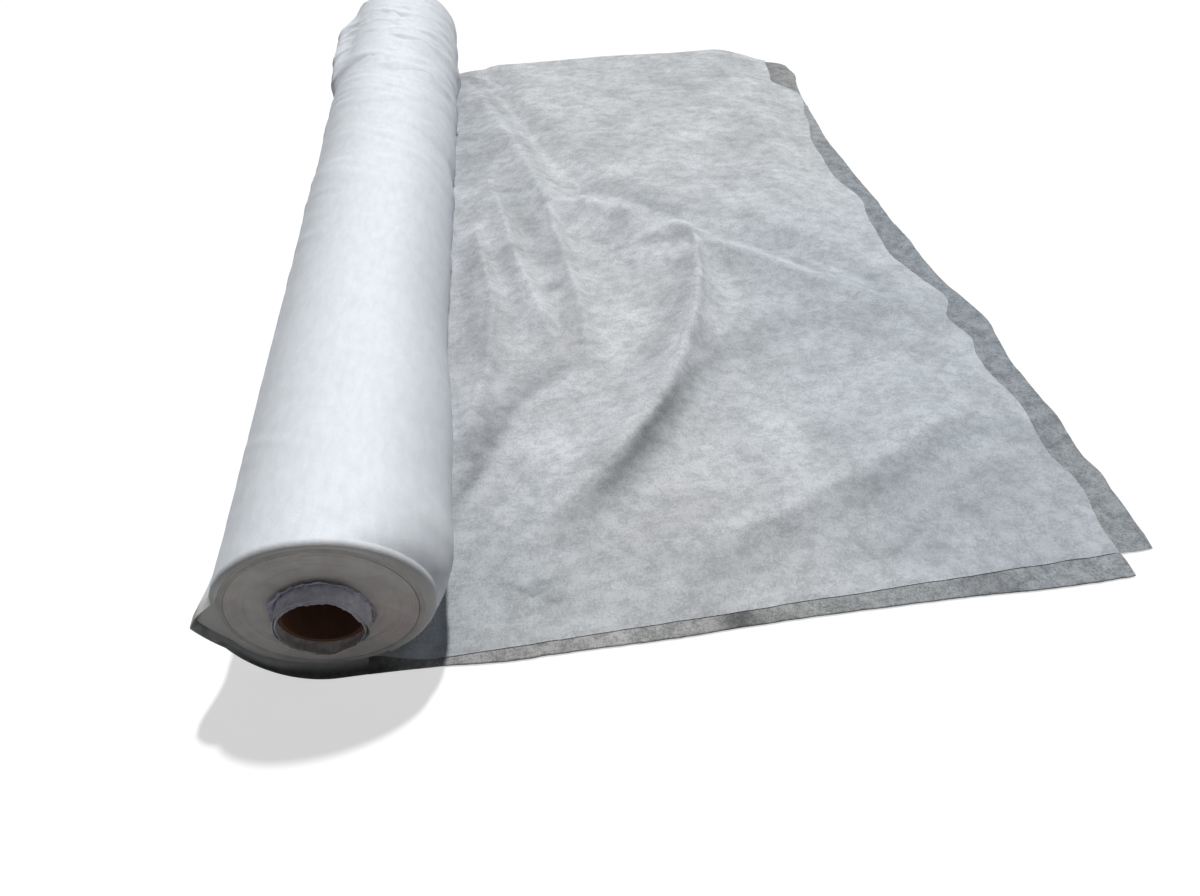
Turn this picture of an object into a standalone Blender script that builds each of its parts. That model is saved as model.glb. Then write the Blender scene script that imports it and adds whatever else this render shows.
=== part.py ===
"""Roll of frost protection fleece, lying on the ground with its first metre of web laid out flat.

The fleece is folded lengthwise to four plies and wound on a cardboard core. From the laid web it
passes under the roll, up its left side and over the top, as one loose turn round the tight ones.

Metres. +Y runs along the roll, away from the end with the crumpled collar, +X along the laid web
to its cut end, and +Z up. The origin is on the ground under the roll's axis, at mid length.
"""

import math

import bmesh
import bpy
from mathutils import Matrix, Vector

# Sizes of the whole roll

ROLL_RADIUS = 0.1025
WEB_WIDTH = 1.600
PLY = 0.0010
PLY_GAP = 0.0003
FOLD_GAP = 0.0005
CLEARANCE = 0.0003
ROUND_STEPS = 48
MERGE_DISTANCE = 0.00001
SHARP_ANGLE = math.radians(35)

# Cardboard core and the first turns, which have slipped out of the near end

CORE_BORE_RADIUS = 0.0380
CORE_WALL = 0.0040
CORE_OVERHANG = 0.0080
COLLAR_THICKNESS = 0.0022
COLLAR_REACH = 0.0200
COLLAR_FAR_REACH = 0.0060
COLLAR_SWELL = 0.0026
COLLAR_SWELL_SHARES = (0.22, 0.42)
COLLAR_PINCH = 0.0018
COLLAR_PINCH_SHARES = (0.42, 0.85)
COLLAR_CRUMPLE = 0.0014
COLLAR_CRUMPLE_WAVES = (9, 4)
COLLAR_RAG = 0.0018
COLLAR_RAG_WAVES = (7, 3)
COLLAR_SPOUT = 0.0038
COLLAR_SPOUT_ANGLE = math.radians(-96)
COLLAR_SPOUT_HALF_ANGLE = math.radians(32)
COLLAR_ROWS = 8

# Tight turns: a plain ring inside, and the outermost turns as the spiral that they are

TURNS = 4
TURN_GAP = 0.00045
END_STEP = 0.0012
TURN_EDGE_WANDER = 0.0010
TURN_EDGE_WAVES = 5
END_STEP_SHARES = (0.0, 1.0, 0.25, 0.9, 0.1, 0.7, 0.0, 0.55, 0.2)

# Loose turn, by the angle round the roll's axis from +X towards +Z

TUCK_ANGLE = math.radians(-62)
GROUND_ANGLE = math.radians(270)
BULGE_ANGLE = math.radians(14)
BULGE_HALF_ANGLE = math.radians(74)
BULGE_HEIGHT = 0.0420
BULGE_SHARES = (
    (0.0, 0.00),
    (0.012, 0.35),
    (0.030, 0.52),
    (0.155, 0.57),
    (0.25, 0.41),
    (0.34, 0.52),
    (0.44, 0.62),
    (0.56, 0.76),
    (0.72, 0.88),
    (0.88, 1.00),
    (1.0, 1.00),
)
BELLY_ANGLE = math.radians(215)
BELLY_HALF_ANGLE = math.radians(60)
BELLY_HEIGHT = 0.0085
BELLY_ALONG = 0.0030
BELLY_FADE = 0.200
EAR_ANGLE = math.radians(178)
EAR_HALF_ANGLE = math.radians(21)
EAR_HEIGHT = 0.0185
EAR_FADE = 0.035
FLARE_ANGLE = math.radians(158)
FLARE_HALF_ANGLE = math.radians(34)
FLARE_HEIGHT = 0.0210
FLARE_SHARES = (
    (0.62, 0.0),
    (0.74, 0.1),
    (0.82, 0.8),
    (0.91, 1.0),
    (0.96, 0.75),
    (1.0, 0.1),
)
INNER_STANDOFF_SHARE = 0.45
FLAP_REACH = 0.0140
FLAP_START_ANGLE = math.radians(180)
FLAP_FULL_ANGLE = math.radians(262)
WRAP_COLUMNS = 44
WRAP_ROW_SHARES = (0.0, 0.012, 0.04, 0.11, 0.19, 0.30, 0.43, 0.57, 0.71, 0.82, 0.91, 1.0)

# Laid web: a top leaf, a second leaf and a folded pair under them

JUNCTION = 0.0200
LAID_LENGTH = 0.877
TOP_LEAF_LENGTH = 0.880
SECOND_LEAF_SHOWS = 0.041
LEAF_NEAR_INSET = 0.0120
LEAF_NEAR_SPREAD = 0.0110
FAR_PUFF_REACH = 0.0260
PAIR_CORNER_CUT = 0.0140
PAIR_CORNER_SHARPNESS = 6
LEAF_COLUMNS = 22
LEAF_ROWS = 20
LEAF_CROWDED_SHARE = 0.35
CURL_ROWS = 4
CURL_DEPTH = 0.0140
PAIR_COLUMNS = 10
PAIR_ROWS = 3
PAIR_BEND_ROWS = 4

# Cut ends, from the near edge to the far one: the top leaf's length as shares of its usual length, and
# how much of the second leaf shows past it, as shares of what usually shows

TOP_END_SHARES = (
    (0.0, 0.991),
    (0.05, 1.0),
    (0.19, 0.998),
    (0.26, 1.008),
    (0.30, 0.993),
    (0.37, 0.983),
    (0.45, 0.980),
    (0.53, 0.973),
    (0.59, 0.969),
    (0.73, 0.992),
    (0.79, 1.010),
    (0.825, 1.035),
    (0.856, 1.055),
    (0.89, 1.032),
    (1.0, 1.030),
)
SHOWS_SHARES = (
    (0.0, 1.0),
    (0.26, 0.9),
    (0.28, 1.3),
    (0.34, 1.1),
    (0.45, 1.0),
    (0.53, 1.25),
    (0.62, 1.1),
    (0.72, 0.8),
    (0.82, 0.25),
    (0.86, 0.15),
    (0.90, 1.0),
    (1.0, 1.1),
)

# The leaves' far edge, by shares of the laid length, as shares of how far its fold puffs out

FAR_EDGE_SHARES = (
    (0.0, 0.0),
    (0.25, 0.6),
    (0.50, 1.0),
    (0.80, 0.85),
    (0.93, 0.7),
    (0.98, 0.3),
    (1.04, -1.0),
    (1.08, -1.7),
    (1.10, -2.8),
)

# Folds of the laid web. Places along a fold are given as shares of the laid length and of the width,
# the ridges' with their height there as a share of the fold height. Past the trough, on its far side,
# the web lies on a pillow of air.

FOLD_HEIGHT = 0.0380
STEEP_WIDTH = 0.0220
EASY_WIDTH = 0.0480
PILLOW_HEIGHT = 0.0210
PILLOW_RISE = 0.0850
PUFF_HEIGHT = 0.0220
PUFF_HALF_WIDTH = 0.075
FLAT_BY_ROLL = 0.060
RISE_FROM_ROLL = 0.070
FLAT_BY_EDGE = 0.060
FLAT_BY_CUT = 0.160
TROUGH_SHARES = (
    (0.05, 1.25),
    (0.22, 0.93),
    (0.32, 0.715),
    (0.40, 0.61),
    (0.54, 0.53),
    (0.72, 0.45),
    (0.87, 0.37),
    (1.48, 0.075),
)
RIDGE_SHARES = (
    (
        (0.14, 0.99, 0.12),
        (0.19, 0.93, 0.40),
        (0.27, 0.75, 0.60),
        (0.32, 0.61, 0.73),
        (0.365, 0.56, 0.58),
        (0.43, 0.55, 0.79),
        (0.485, 0.52, 0.87),
        (0.55, 0.485, 0.76),
        (0.595, 0.46, 1.0),
        (0.665, 0.435, 0.63),
        (0.775, 0.38, 0.51),
        (0.895, 0.325, 0.33),
        (1.0, 0.29, 0.18),
    ),
    (
        (0.595, 0.46, 1.0),
        (0.575, 0.355, 0.91),
        (0.50, 0.25, 0.88),
        (0.40, 0.17, 0.70),
        (0.29, 0.11, 0.36),
        (0.15, 0.05, 0.06),
    ),
    (
        (0.18, 0.55, 0.10),
        (0.19, 0.47, 0.42),
        (0.195, 0.34, 0.39),
        (0.17, 0.245, 0.36),
        (0.15, 0.20, 0.24),
    ),
    (
        (0.21, 0.66, 0.10),
        (0.225, 0.62, 0.36),
        (0.255, 0.45, 0.51),
        (0.295, 0.365, 0.45),
        (0.30, 0.295, 0.10),
    ),
    (
        (0.335, 0.56, 0.42),
        (0.34, 0.445, 0.48),
        (0.37, 0.325, 0.39),
        (0.365, 0.285, 0.12),
    ),
    (
        (0.98, 0.175, 0.12),
        (0.84, 0.145, 0.42),
        (0.68, 0.10, 0.42),
        (0.51, 0.065, 0.24),
        (0.39, 0.045, 0.10),
    ),
)

# Sizes that follow from the ones above

PAIR = 2 * PLY + FOLD_GAP
WRAP = 2 * PAIR + CLEARANCE
FACET_SHRINK = math.cos(math.pi / ROUND_STEPS)
AXIS_HEIGHT = ROLL_RADIUS
TIGHT_RADIUS = ROLL_RADIUS - WRAP - CLEARANCE
SPIN_RADIUS = TIGHT_RADIUS * FACET_SHRINK
TURN_PITCH = PLY + TURN_GAP
WOUND_RADIUS = SPIN_RADIUS - TURNS * TURN_PITCH - PLY - CLEARANCE
CORE_RADIUS = CORE_BORE_RADIUS + CORE_WALL
COLLAR_BORE_RADIUS = CORE_RADIUS + CLEARANCE
COLLAR_RADIUS = COLLAR_BORE_RADIUS + COLLAR_THICKNESS
WOUND_BORE_RADIUS = COLLAR_RADIUS + CLEARANCE
NEAR = -WEB_WIDTH / 2
FAR = WEB_WIDTH / 2


def smooth(value):
    """0 below 0, 1 above 1 and an easy curve between."""
    clamped = min(max(value, 0.0), 1.0)
    return clamped * clamped * (3.0 - 2.0 * clamped)


def hump(offset, half_width):
    """1 at no offset, falling to 0 at the half width."""
    share = min(abs(offset) / half_width, 1.0)
    return math.cos(share * math.pi / 2) ** 2


def rise(share, shares):
    """0 before the first share of two, 1 past the second and an easy curve between."""
    return smooth((share - shares[0]) / (shares[1] - shares[0]))


def fade(offset, length):
    """1 at no offset, dying away over the length."""
    return math.exp(-((offset / length) ** 2))


def by_shares(share, shares):
    """Reads a table of shares: straight between its entries and level past its ends."""
    for (first, low), (last, high) in zip(shares[:-1], shares[1:], strict=True):
        if share < last:
            return low + (high - low) * max(share - first, 0.0) / (last - first)
    return shares[-1][1]


def on_circle(radius, angle, along):
    """A point round the roll's axis."""
    return Vector((radius * math.cos(angle), along, AXIS_HEIGHT + radius * math.sin(angle)))


# Modelling


def make_material(name, colour, roughness):
    """A plain material in the piece's own colour."""
    material = bpy.data.materials.new(name)
    material.use_nodes = True
    shader = material.node_tree.nodes["Principled BSDF"]
    shader.inputs["Base Color"].default_value = (*colour, 1.0)
    shader.inputs["Roughness"].default_value = roughness
    shader.inputs["Metallic"].default_value = 0.0
    return material


def add_object(collection, name, mesh, colour, roughness):
    """Puts a mesh in the collection under its name, with its own material, shaded smooth."""
    mesh.shade_smooth()
    mesh.set_sharp_from_angle(angle=SHARP_ANGLE)
    mesh.materials.append(make_material(name, colour, roughness))
    piece = bpy.data.objects.new(name, mesh)
    collection.objects.link(piece)
    return piece


def formed_sheet(name, columns, rows, front, back, is_round=False):
    """A sheet with a thickness: a grid extruded once, its two faces at front and back.

    Both are functions of a column and a row, counted from 0. A round sheet closes on itself.
    """
    form = bmesh.new()
    column_layer = form.verts.layers.float.new("column")
    row_layer = form.verts.layers.float.new("row")
    bmesh.ops.create_grid(form, x_segments=columns, y_segments=rows, size=1.0)
    for vertex in form.verts:
        vertex[column_layer] = round((vertex.co.x + 1.0) / 2.0 * columns)
        vertex[row_layer] = round((vertex.co.y + 1.0) / 2.0 * rows)
        vertex.co = front(vertex[column_layer], vertex[row_layer])
    if is_round:
        bmesh.ops.remove_doubles(form, verts=form.verts[:], dist=MERGE_DISTANCE)
    extruded = bmesh.ops.extrude_face_region(form, geom=form.faces[:])
    for item in extruded["geom"]:
        if isinstance(item, bmesh.types.BMVert):
            item.co = back(item[column_layer], item[row_layer])
    bmesh.ops.recalc_face_normals(form, faces=form.faces[:])
    mesh = bpy.data.meshes.new(name)
    form.to_mesh(mesh)
    form.free()
    return mesh


def turned_piece(collection, name, profile, colour, roughness, parent):
    """A closed profile of (radius, place along the roll) turned about the roll's axis."""
    mesh = bpy.data.meshes.new(name)
    points = [(radius, 0.0, along) for radius, along in profile]
    edges = [(index, (index + 1) % len(points)) for index in range(len(points))]
    mesh.from_pydata(points, edges, [])
    piece = bpy.data.objects.new(name, mesh)
    mesh.materials.append(make_material(name, colour, roughness))
    collection.objects.link(piece)
    piece.parent = parent
    piece.matrix_parent_inverse = Matrix.Identity(4)
    piece.rotation_euler = (-math.pi / 2, 0.0, 0.0)
    screw = piece.modifiers.new("turn", "SCREW")
    screw.steps = ROUND_STEPS
    screw.render_steps = ROUND_STEPS
    screw.angle = 2 * math.pi
    screw.axis = "Z"
    screw.use_merge_vertices = True
    screw.merge_threshold = MERGE_DISTANCE
    screw.use_smooth_shade = True


# The roll that turns


def core_tube(collection, parent):
    """The cardboard core, which ends inside the collar at the near end."""
    near = NEAR - CORE_OVERHANG
    far = FAR + COLLAR_FAR_REACH
    profile = [
        (CORE_RADIUS, far),
        (CORE_RADIUS, near),
        (CORE_BORE_RADIUS, near),
        (CORE_BORE_RADIUS, far),
    ]
    turned_piece(collection, "core_tube", profile, (0.20, 0.11, 0.07), 0.85, parent)


def two_waves(angle, counts):
    """Waves round the roll that come and go, by how many there are of each kind."""
    return math.sin(counts[0] * angle) * math.sin(counts[1] * angle)


def collar_shape(angle, out_share):
    """How far the collar stands off its round and how far it reaches, at an angle.

    It swells at the end face, draws in past the end of the core, and has a spout low down.
    """
    swell = COLLAR_SWELL * hump(out_share - COLLAR_SWELL_SHARES[0], COLLAR_SWELL_SHARES[1])
    pinch = COLLAR_PINCH * rise(out_share, COLLAR_PINCH_SHARES)
    crumple = COLLAR_CRUMPLE * abs(two_waves(angle, COLLAR_CRUMPLE_WAVES)) * smooth(out_share)
    spout = hump(angle - COLLAR_SPOUT_ANGLE, COLLAR_SPOUT_HALF_ANGLE)
    standoff = swell - pinch + crumple + COLLAR_SPOUT * spout * smooth(out_share)
    rag = COLLAR_RAG * two_waves(angle, COLLAR_RAG_WAVES)
    return standoff, (COLLAR_REACH + rag) * out_share


def collar_turns(collection, parent):
    """The first turns on the core, crumpled where they stand out of the near end."""
    straight_rows = 1

    def place(column, row, radius):
        angle = COLLAR_SPOUT_ANGLE - math.pi + column / ROUND_STEPS * 2 * math.pi
        if row <= straight_rows:
            along = FAR + COLLAR_FAR_REACH + (NEAR - FAR - COLLAR_FAR_REACH) * row / straight_rows
            return on_circle(radius, angle, along)
        out_share = (row - straight_rows) / (COLLAR_ROWS - straight_rows)
        standoff, reach = collar_shape(angle, out_share)
        return on_circle(radius + standoff, angle, NEAR - reach)

    mesh = formed_sheet(
        "collar_turns",
        ROUND_STEPS,
        COLLAR_ROWS,
        lambda column, row: place(column, row, COLLAR_RADIUS),
        lambda column, row: place(column, row, COLLAR_BORE_RADIUS),
        is_round=True,
    )
    piece = add_object(collection, "collar_turns", mesh, (0.62, 0.62, 0.66), 0.95)
    set_parent(piece, parent)


def end_face(radii, end, outward):
    """Points of an end face, stepped as the turns have slipped, from the rim to the bore."""
    points = []
    for index, share in enumerate(END_STEP_SHARES):
        radius = radii[0] + (radii[1] - radii[0]) * index / (len(END_STEP_SHARES) - 1)
        points.append((radius, end - outward * END_STEP * share))
    return points


def wound_body(collection, parent):
    """The tight turns, with stepped end faces."""
    face_radii = (WOUND_RADIUS, WOUND_BORE_RADIUS)
    near_face = end_face(face_radii, NEAR, -1)
    far_face = end_face(face_radii, FAR, 1)
    profile = near_face + far_face[::-1]
    turned_piece(collection, "wound_body", profile, (0.70, 0.70, 0.71), 0.95, parent)


def outer_turns(collection, parent):
    """The outermost tight turns: one unbroken band that spirals inwards, clockwise from its end."""
    steps = TURNS * ROUND_STEPS

    def place(column, row, depth):
        angle = TUCK_ANGLE - column / ROUND_STEPS * 2 * math.pi
        radius = SPIN_RADIUS - TURN_PITCH * column / ROUND_STEPS - depth
        wander = TURN_EDGE_WANDER * math.sin(TURN_EDGE_WAVES * angle + column / ROUND_STEPS)
        edge = NEAR if row == 0 else FAR
        return on_circle(radius, angle, edge + wander)

    mesh = formed_sheet(
        "outer_turns",
        steps,
        1,
        lambda column, row: place(column, row, 0.0),
        lambda column, row: place(column, row, PLY),
    )
    piece = add_object(collection, "outer_turns", mesh, (0.80, 0.81, 0.83), 0.95)
    set_parent(piece, parent)
    least = min(
        (place(column, 0, PLY) - place(column + ROUND_STEPS, 0, 0.0)).length
        for column in range(steps - ROUND_STEPS + 1)
    )
    print(f"least gap between the outer turns: {1000 * least:.2f} mm")


# The loose turn round it


def standoff(angle, along):
    """How far the outside of the loose turn stands off the tight roll."""
    from_near = along - NEAR
    share = from_near / WEB_WIDTH
    bulge = BULGE_HEIGHT * by_shares(share, BULGE_SHARES)
    belly = BELLY_ALONG + (BELLY_HEIGHT - BELLY_ALONG) * fade(from_near, BELLY_FADE)
    flare = FLARE_HEIGHT * by_shares(share, FLARE_SHARES)
    return (
        bulge * hump(angle - BULGE_ANGLE, BULGE_HALF_ANGLE)
        + belly * hump(angle - BELLY_ANGLE, BELLY_HALF_ANGLE)
        + EAR_HEIGHT * hump(angle - EAR_ANGLE, EAR_HALF_ANGLE) * fade(from_near, EAR_FADE)
        + flare * hump(angle - FLARE_ANGLE, FLARE_HALF_ANGLE)
    )


def flap(angle):
    """How far the folded edge of the outer pair stands out of the near end, at an angle."""
    return FLAP_REACH * smooth((angle - FLAP_START_ANGLE) / (FLAP_FULL_ANGLE - FLAP_START_ANGLE))


def wrap_point(column, row, depth, standoff_share, near_edge):
    """A point of the loose turn at a depth below its outside; the last column lies on the ground."""
    angle = TUCK_ANGLE + (GROUND_ANGLE - TUCK_ANGLE) * min(column / (WRAP_COLUMNS - 1), 1.0)
    edge = near_edge(angle)
    along = edge + (FAR - edge) * WRAP_ROW_SHARES[int(row)]
    radius = ROLL_RADIUS - depth + standoff_share * standoff(angle, along)
    point = on_circle(radius, angle, along)
    point.z = max(point.z, depth)
    if column > WRAP_COLUMNS - 1:
        point.x = JUNCTION
    return point


def loose_turn(collection, name, depth, standoff_share, near_edge, colour):
    """One folded pair of plies in the loose turn."""
    mesh = formed_sheet(
        name,
        WRAP_COLUMNS,
        len(WRAP_ROW_SHARES) - 1,
        lambda column, row: wrap_point(column, row, depth, standoff_share, near_edge),
        lambda column, row: wrap_point(column, row, depth + PAIR, standoff_share, near_edge),
    )
    return add_object(collection, name, mesh, colour, 0.95)


# The laid web


def nearest_on_line(place, line):
    """The signed distance to a line of places, over 0 on its left, and how far along which leg."""
    best = (math.inf, 0, 0.0)
    for leg, (start, end) in enumerate(zip(line[:-1], line[1:], strict=True)):
        start_at = Vector((start[0] * LAID_LENGTH, NEAR + start[1] * WEB_WIDTH))
        end_at = Vector((end[0] * LAID_LENGTH, NEAR + end[1] * WEB_WIDTH))
        run = end_at - start_at
        share = (place - start_at).dot(run) / run.length_squared
        share = min(max(share, 0.0), 1.0)
        away = place - start_at - run * share
        side = 1.0 if run.x * away.y - run.y * away.x > 0.0 else -1.0
        if away.length < abs(best[0]):
            best = (away.length * side, leg, share)
    return best


def fold_height(along_web, across):
    """Height of the folds of the laid web over the flat, at a place on it."""
    place = Vector((along_web, across))
    past_trough = nearest_on_line(place, TROUGH_SHARES)[0]
    total = PILLOW_HEIGHT * smooth(past_trough / PILLOW_RISE)
    for ridge in RIDGE_SHARES:
        distance, leg, share = nearest_on_line(place, ridge)
        height = ridge[leg][2] + (ridge[leg + 1][2] - ridge[leg][2]) * share
        width = STEEP_WIDTH if distance > 0.0 else EASY_WIDTH
        total = max(total, FOLD_HEIGHT * height * math.exp(-abs(distance) / width))
    run = min(max(along_web / LAID_LENGTH, 0.0), 1.0)
    puff = PUFF_HEIGHT * math.sin(math.pi * run) * fade(across - FAR, PUFF_HALF_WIDTH)
    clear_of_roll = smooth((along_web - FLAT_BY_ROLL) / RISE_FROM_ROLL)
    clear_of_edge = smooth((across - NEAR) / FLAT_BY_EDGE)
    clear_of_cut = smooth((top_end(across) - along_web) / FLAT_BY_CUT)
    return max(total, puff) * clear_of_roll * clear_of_edge * clear_of_cut


def top_end(across):
    """Where the top leaf is cut off."""
    return TOP_LEAF_LENGTH * by_shares((across - NEAR) / WEB_WIDTH, TOP_END_SHARES)


def leaf_near_edge(along_web):
    """The leaves' near edge, which draws back from the roll to the cut end."""
    return NEAR - LEAF_NEAR_SPREAD + LEAF_NEAR_INSET * 2 * along_web / LAID_LENGTH


def leaf_far_edge(along_web):
    """The leaves' far edge: a fold that puffs out in the middle, cut back at the far corner."""
    return FAR + FAR_PUFF_REACH * by_shares(along_web / LAID_LENGTH, FAR_EDGE_SHARES)


def leaf_point(column, row):
    """A place on the leaves' shared grid; the column past the last lies in the second leaf alone."""
    share = row / LEAF_ROWS
    first = JUNCTION + CLEARANCE
    last = top_end(NEAR + WEB_WIDTH * share)
    if column <= LEAF_COLUMNS:
        run = column / LEAF_COLUMNS
        run += LEAF_CROWDED_SHARE * (run**2 - run)
        along_web = first + (last - first) * run
    else:
        along_web = last + SECOND_LEAF_SHOWS * by_shares(share, SHOWS_SHARES)
    near = leaf_near_edge(along_web)
    far = leaf_far_edge(along_web)
    return along_web, near + (far - near) * share


def top_leaf(collection):
    """The top ply, which rolls over the far edge down to the ground."""

    def place(column, row, lift):
        along_web, across = leaf_point(column, min(row, LEAF_ROWS))
        height = fold_height(along_web, across)
        bottom = PAIR + CLEARANCE + PLY + PLY_GAP + height
        if row <= LEAF_ROWS:
            return Vector((along_web, across, bottom + lift))
        turn = (row - LEAF_ROWS) / CURL_ROWS * math.pi / 2
        depth = CURL_DEPTH + PLY if lift else CURL_DEPTH
        top = bottom + lift
        return Vector((along_web, across + depth * math.sin(turn), top * math.cos(turn)))

    mesh = formed_sheet(
        "top_leaf",
        LEAF_COLUMNS,
        LEAF_ROWS + CURL_ROWS,
        lambda column, row: place(column, row, PLY),
        lambda column, row: place(column, row, 0.0),
    )
    add_object(collection, "top_leaf", mesh, (0.72, 0.73, 0.74), 0.95)


def second_leaf(collection):
    """The ply under it, which reaches further at the cut end."""

    def place(column, row, lift):
        along_web, across = leaf_point(column, row)
        height = fold_height(along_web, across)
        return Vector((along_web, across, PAIR + CLEARANCE + height + lift))

    mesh = formed_sheet(
        "second_leaf",
        LEAF_COLUMNS + 1,
        LEAF_ROWS,
        lambda column, row: place(column, row, PLY),
        lambda column, row: place(column, row, 0.0),
    )
    add_object(collection, "second_leaf", mesh, (0.55, 0.57, 0.58), 0.95)


def lower_pair(collection):
    """The two lowest plies, joined by the fold that sticks out of the near edge."""
    bend = PAIR / 2
    rows = 2 * PAIR_ROWS + PAIR_BEND_ROWS
    first = JUNCTION + CLEARANCE

    def place(column, row, radius):
        turn = (row - PAIR_ROWS) / PAIR_BEND_ROWS * math.pi
        turn = min(max(turn, 0.0), math.pi)
        flat_rows = max(PAIR_ROWS - row, row - PAIR_ROWS - PAIR_BEND_ROWS, 0)
        share = flat_rows / PAIR_ROWS
        near_share = 1.0 - share
        corner = PAIR_CORNER_CUT * near_share**PAIR_CORNER_SHARPNESS
        along_web = first + (LAID_LENGTH - corner - first) * column / PAIR_COLUMNS
        near = NEAR - FLAP_REACH + bend
        far = leaf_far_edge(along_web)
        across = near + (far - near) * share - radius * math.sin(turn)
        return Vector((along_web, across, bend + radius * math.cos(turn)))

    mesh = formed_sheet(
        "lower_pair",
        PAIR_COLUMNS,
        rows,
        lambda column, row: place(column, row, bend),
        lambda column, row: place(column, row, bend - PLY),
    )
    add_object(collection, "lower_pair", mesh, (0.52, 0.54, 0.55), 0.95)


# The assembly


def set_parent(piece, parent):
    """Parents a piece that is already in its place."""
    piece.parent = parent
    piece.matrix_parent_inverse = Matrix.Translation(-parent.location)


def main():
    """Builds the roll in a collection of its own."""
    for old in list(bpy.data.objects):
        bpy.data.objects.remove(old)
    collection = bpy.data.collections.new("frost_fleece_roll")
    bpy.context.scene.collection.children.link(collection)
    spin_axis = bpy.data.objects.new("roll_spin_axis", None)
    spin_axis.location = (0.0, 0.0, AXIS_HEIGHT)
    collection.objects.link(spin_axis)
    core_tube(collection, spin_axis)
    collar_turns(collection, spin_axis)
    wound_body(collection, spin_axis)
    outer_turns(collection, spin_axis)
    loose_turn(
        collection,
        "loose_turn_outer",
        0.0,
        1.0,
        lambda angle: NEAR - flap(angle),
        (0.82, 0.84, 0.86),
    )
    loose_turn(
        collection,
        "loose_turn_inner",
        PAIR + CLEARANCE,
        INNER_STANDOFF_SHARE,
        lambda angle: NEAR,
        (0.74, 0.75, 0.77),
    )
    top_leaf(collection)
    second_leaf(collection)
    lower_pair(collection)


main()
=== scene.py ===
"""How the roll of frost protection fleece looks: its plies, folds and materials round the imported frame.

Metres, in the frame's own axes: +Y along the roll, away from the end with the crumpled collar, +X along
the laid web to its cut end, +Z up, with the origin on the ground under the roll's axis.
"""

import math

import bpy
import numpy as np
from mathutils import Matrix, Vector


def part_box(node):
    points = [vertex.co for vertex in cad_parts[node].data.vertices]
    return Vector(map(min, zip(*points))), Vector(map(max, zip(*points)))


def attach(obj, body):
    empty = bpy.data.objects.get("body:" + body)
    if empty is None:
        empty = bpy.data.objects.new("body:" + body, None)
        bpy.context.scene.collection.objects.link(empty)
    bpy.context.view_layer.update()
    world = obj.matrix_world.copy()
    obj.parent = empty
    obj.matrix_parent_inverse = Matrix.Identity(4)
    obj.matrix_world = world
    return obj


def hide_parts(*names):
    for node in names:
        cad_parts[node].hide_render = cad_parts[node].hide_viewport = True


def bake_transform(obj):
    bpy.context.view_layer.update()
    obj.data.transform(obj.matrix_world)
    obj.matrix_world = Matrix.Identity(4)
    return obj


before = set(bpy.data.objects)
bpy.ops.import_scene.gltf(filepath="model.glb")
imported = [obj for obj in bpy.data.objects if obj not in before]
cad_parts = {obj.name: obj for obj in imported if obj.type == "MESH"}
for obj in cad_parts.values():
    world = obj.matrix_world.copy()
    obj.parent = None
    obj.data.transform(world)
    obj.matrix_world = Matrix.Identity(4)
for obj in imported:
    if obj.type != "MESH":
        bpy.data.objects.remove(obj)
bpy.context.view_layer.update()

# Sizes read from the frame

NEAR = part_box("wound_body")[0].y
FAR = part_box("wound_body")[1].y
WOUND_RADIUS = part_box("wound_body")[1].x
AXIS_HEIGHT = (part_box("core_tube")[0].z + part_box("core_tube")[1].z) / 2
CORE_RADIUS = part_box("core_tube")[1].x
PAIR_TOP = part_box("lower_pair")[1].z
FLAP_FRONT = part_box("lower_pair")[0].y
LAID_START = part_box("lower_pair")[0].x
LAID_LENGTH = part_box("lower_pair")[1].x

# Sizes of the web and the roll

ROLL_RADIUS = 0.1025
WEB_WIDTH = FAR - NEAR
PLY = 0.0004
PLY_PITCH = 0.0013
TURN_TOP_RADIUS = 0.0962
TURN_PITCH = 0.00055
TURN_PLY = 0.00050

# Loose turn, by the angle round the roll's axis from +X towards +Z, with how far its bulge and its
# flare stand off at places along the roll

TUCK_ANGLE = math.radians(-62)
GROUND_ANGLE = math.radians(270)
BULGE_ANGLE = math.radians(14)
BULGE_HALF_ANGLE = math.radians(74)
BULGE = (
    (-0.800, 0.000), (-0.785, 0.013), (-0.760, 0.022), (-0.700, 0.022), (-0.550, 0.024),
    (-0.400, 0.017), (-0.250, 0.022), (-0.100, 0.026), (0.100, 0.032), (0.350, 0.037),
    (0.600, 0.042), (0.800, 0.042),
)
FLARE_ANGLE = math.radians(158)
FLARE_HALF_ANGLE = math.radians(34)
FLARE = (
    (0.200, 0.000), (0.400, 0.002), (0.500, 0.016), (0.560, 0.021), (0.620, 0.018), (0.680, 0.021),
    (0.740, 0.016), (0.800, 0.002),
)
BELLY_ANGLE = math.radians(215)
BELLY_HALF_ANGLE = math.radians(60)
BELLY_HEIGHT = 0.0085
BELLY_ALONG = 0.0030
BELLY_FADE = 0.200
EAR_ANGLE = math.radians(178)
EAR_HALF_ANGLE = math.radians(21)
EAR_HEIGHT = 0.0185
EAR_FADE = 0.035
EAR_SHARPNESS = 1.15
EAR_TIP_SHARE = 0.38
RIM_RADIUS = 0.0070
CURL_FULL_ANGLE = math.radians(150)
CURL_NONE_ANGLE = math.radians(172)
LEAST_CURL = 0.001
FLAP_START_ANGLE = math.radians(200)
FLAP_FULL_ANGLE = math.radians(262)

# Creases of the loose turn: how each layer of them is turned, its width and length, its random seed
# and its strength; then how deep they are, how far below the plain round they may dent it, and where
# they grow along the roll, as the ramp's (start, length)

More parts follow.
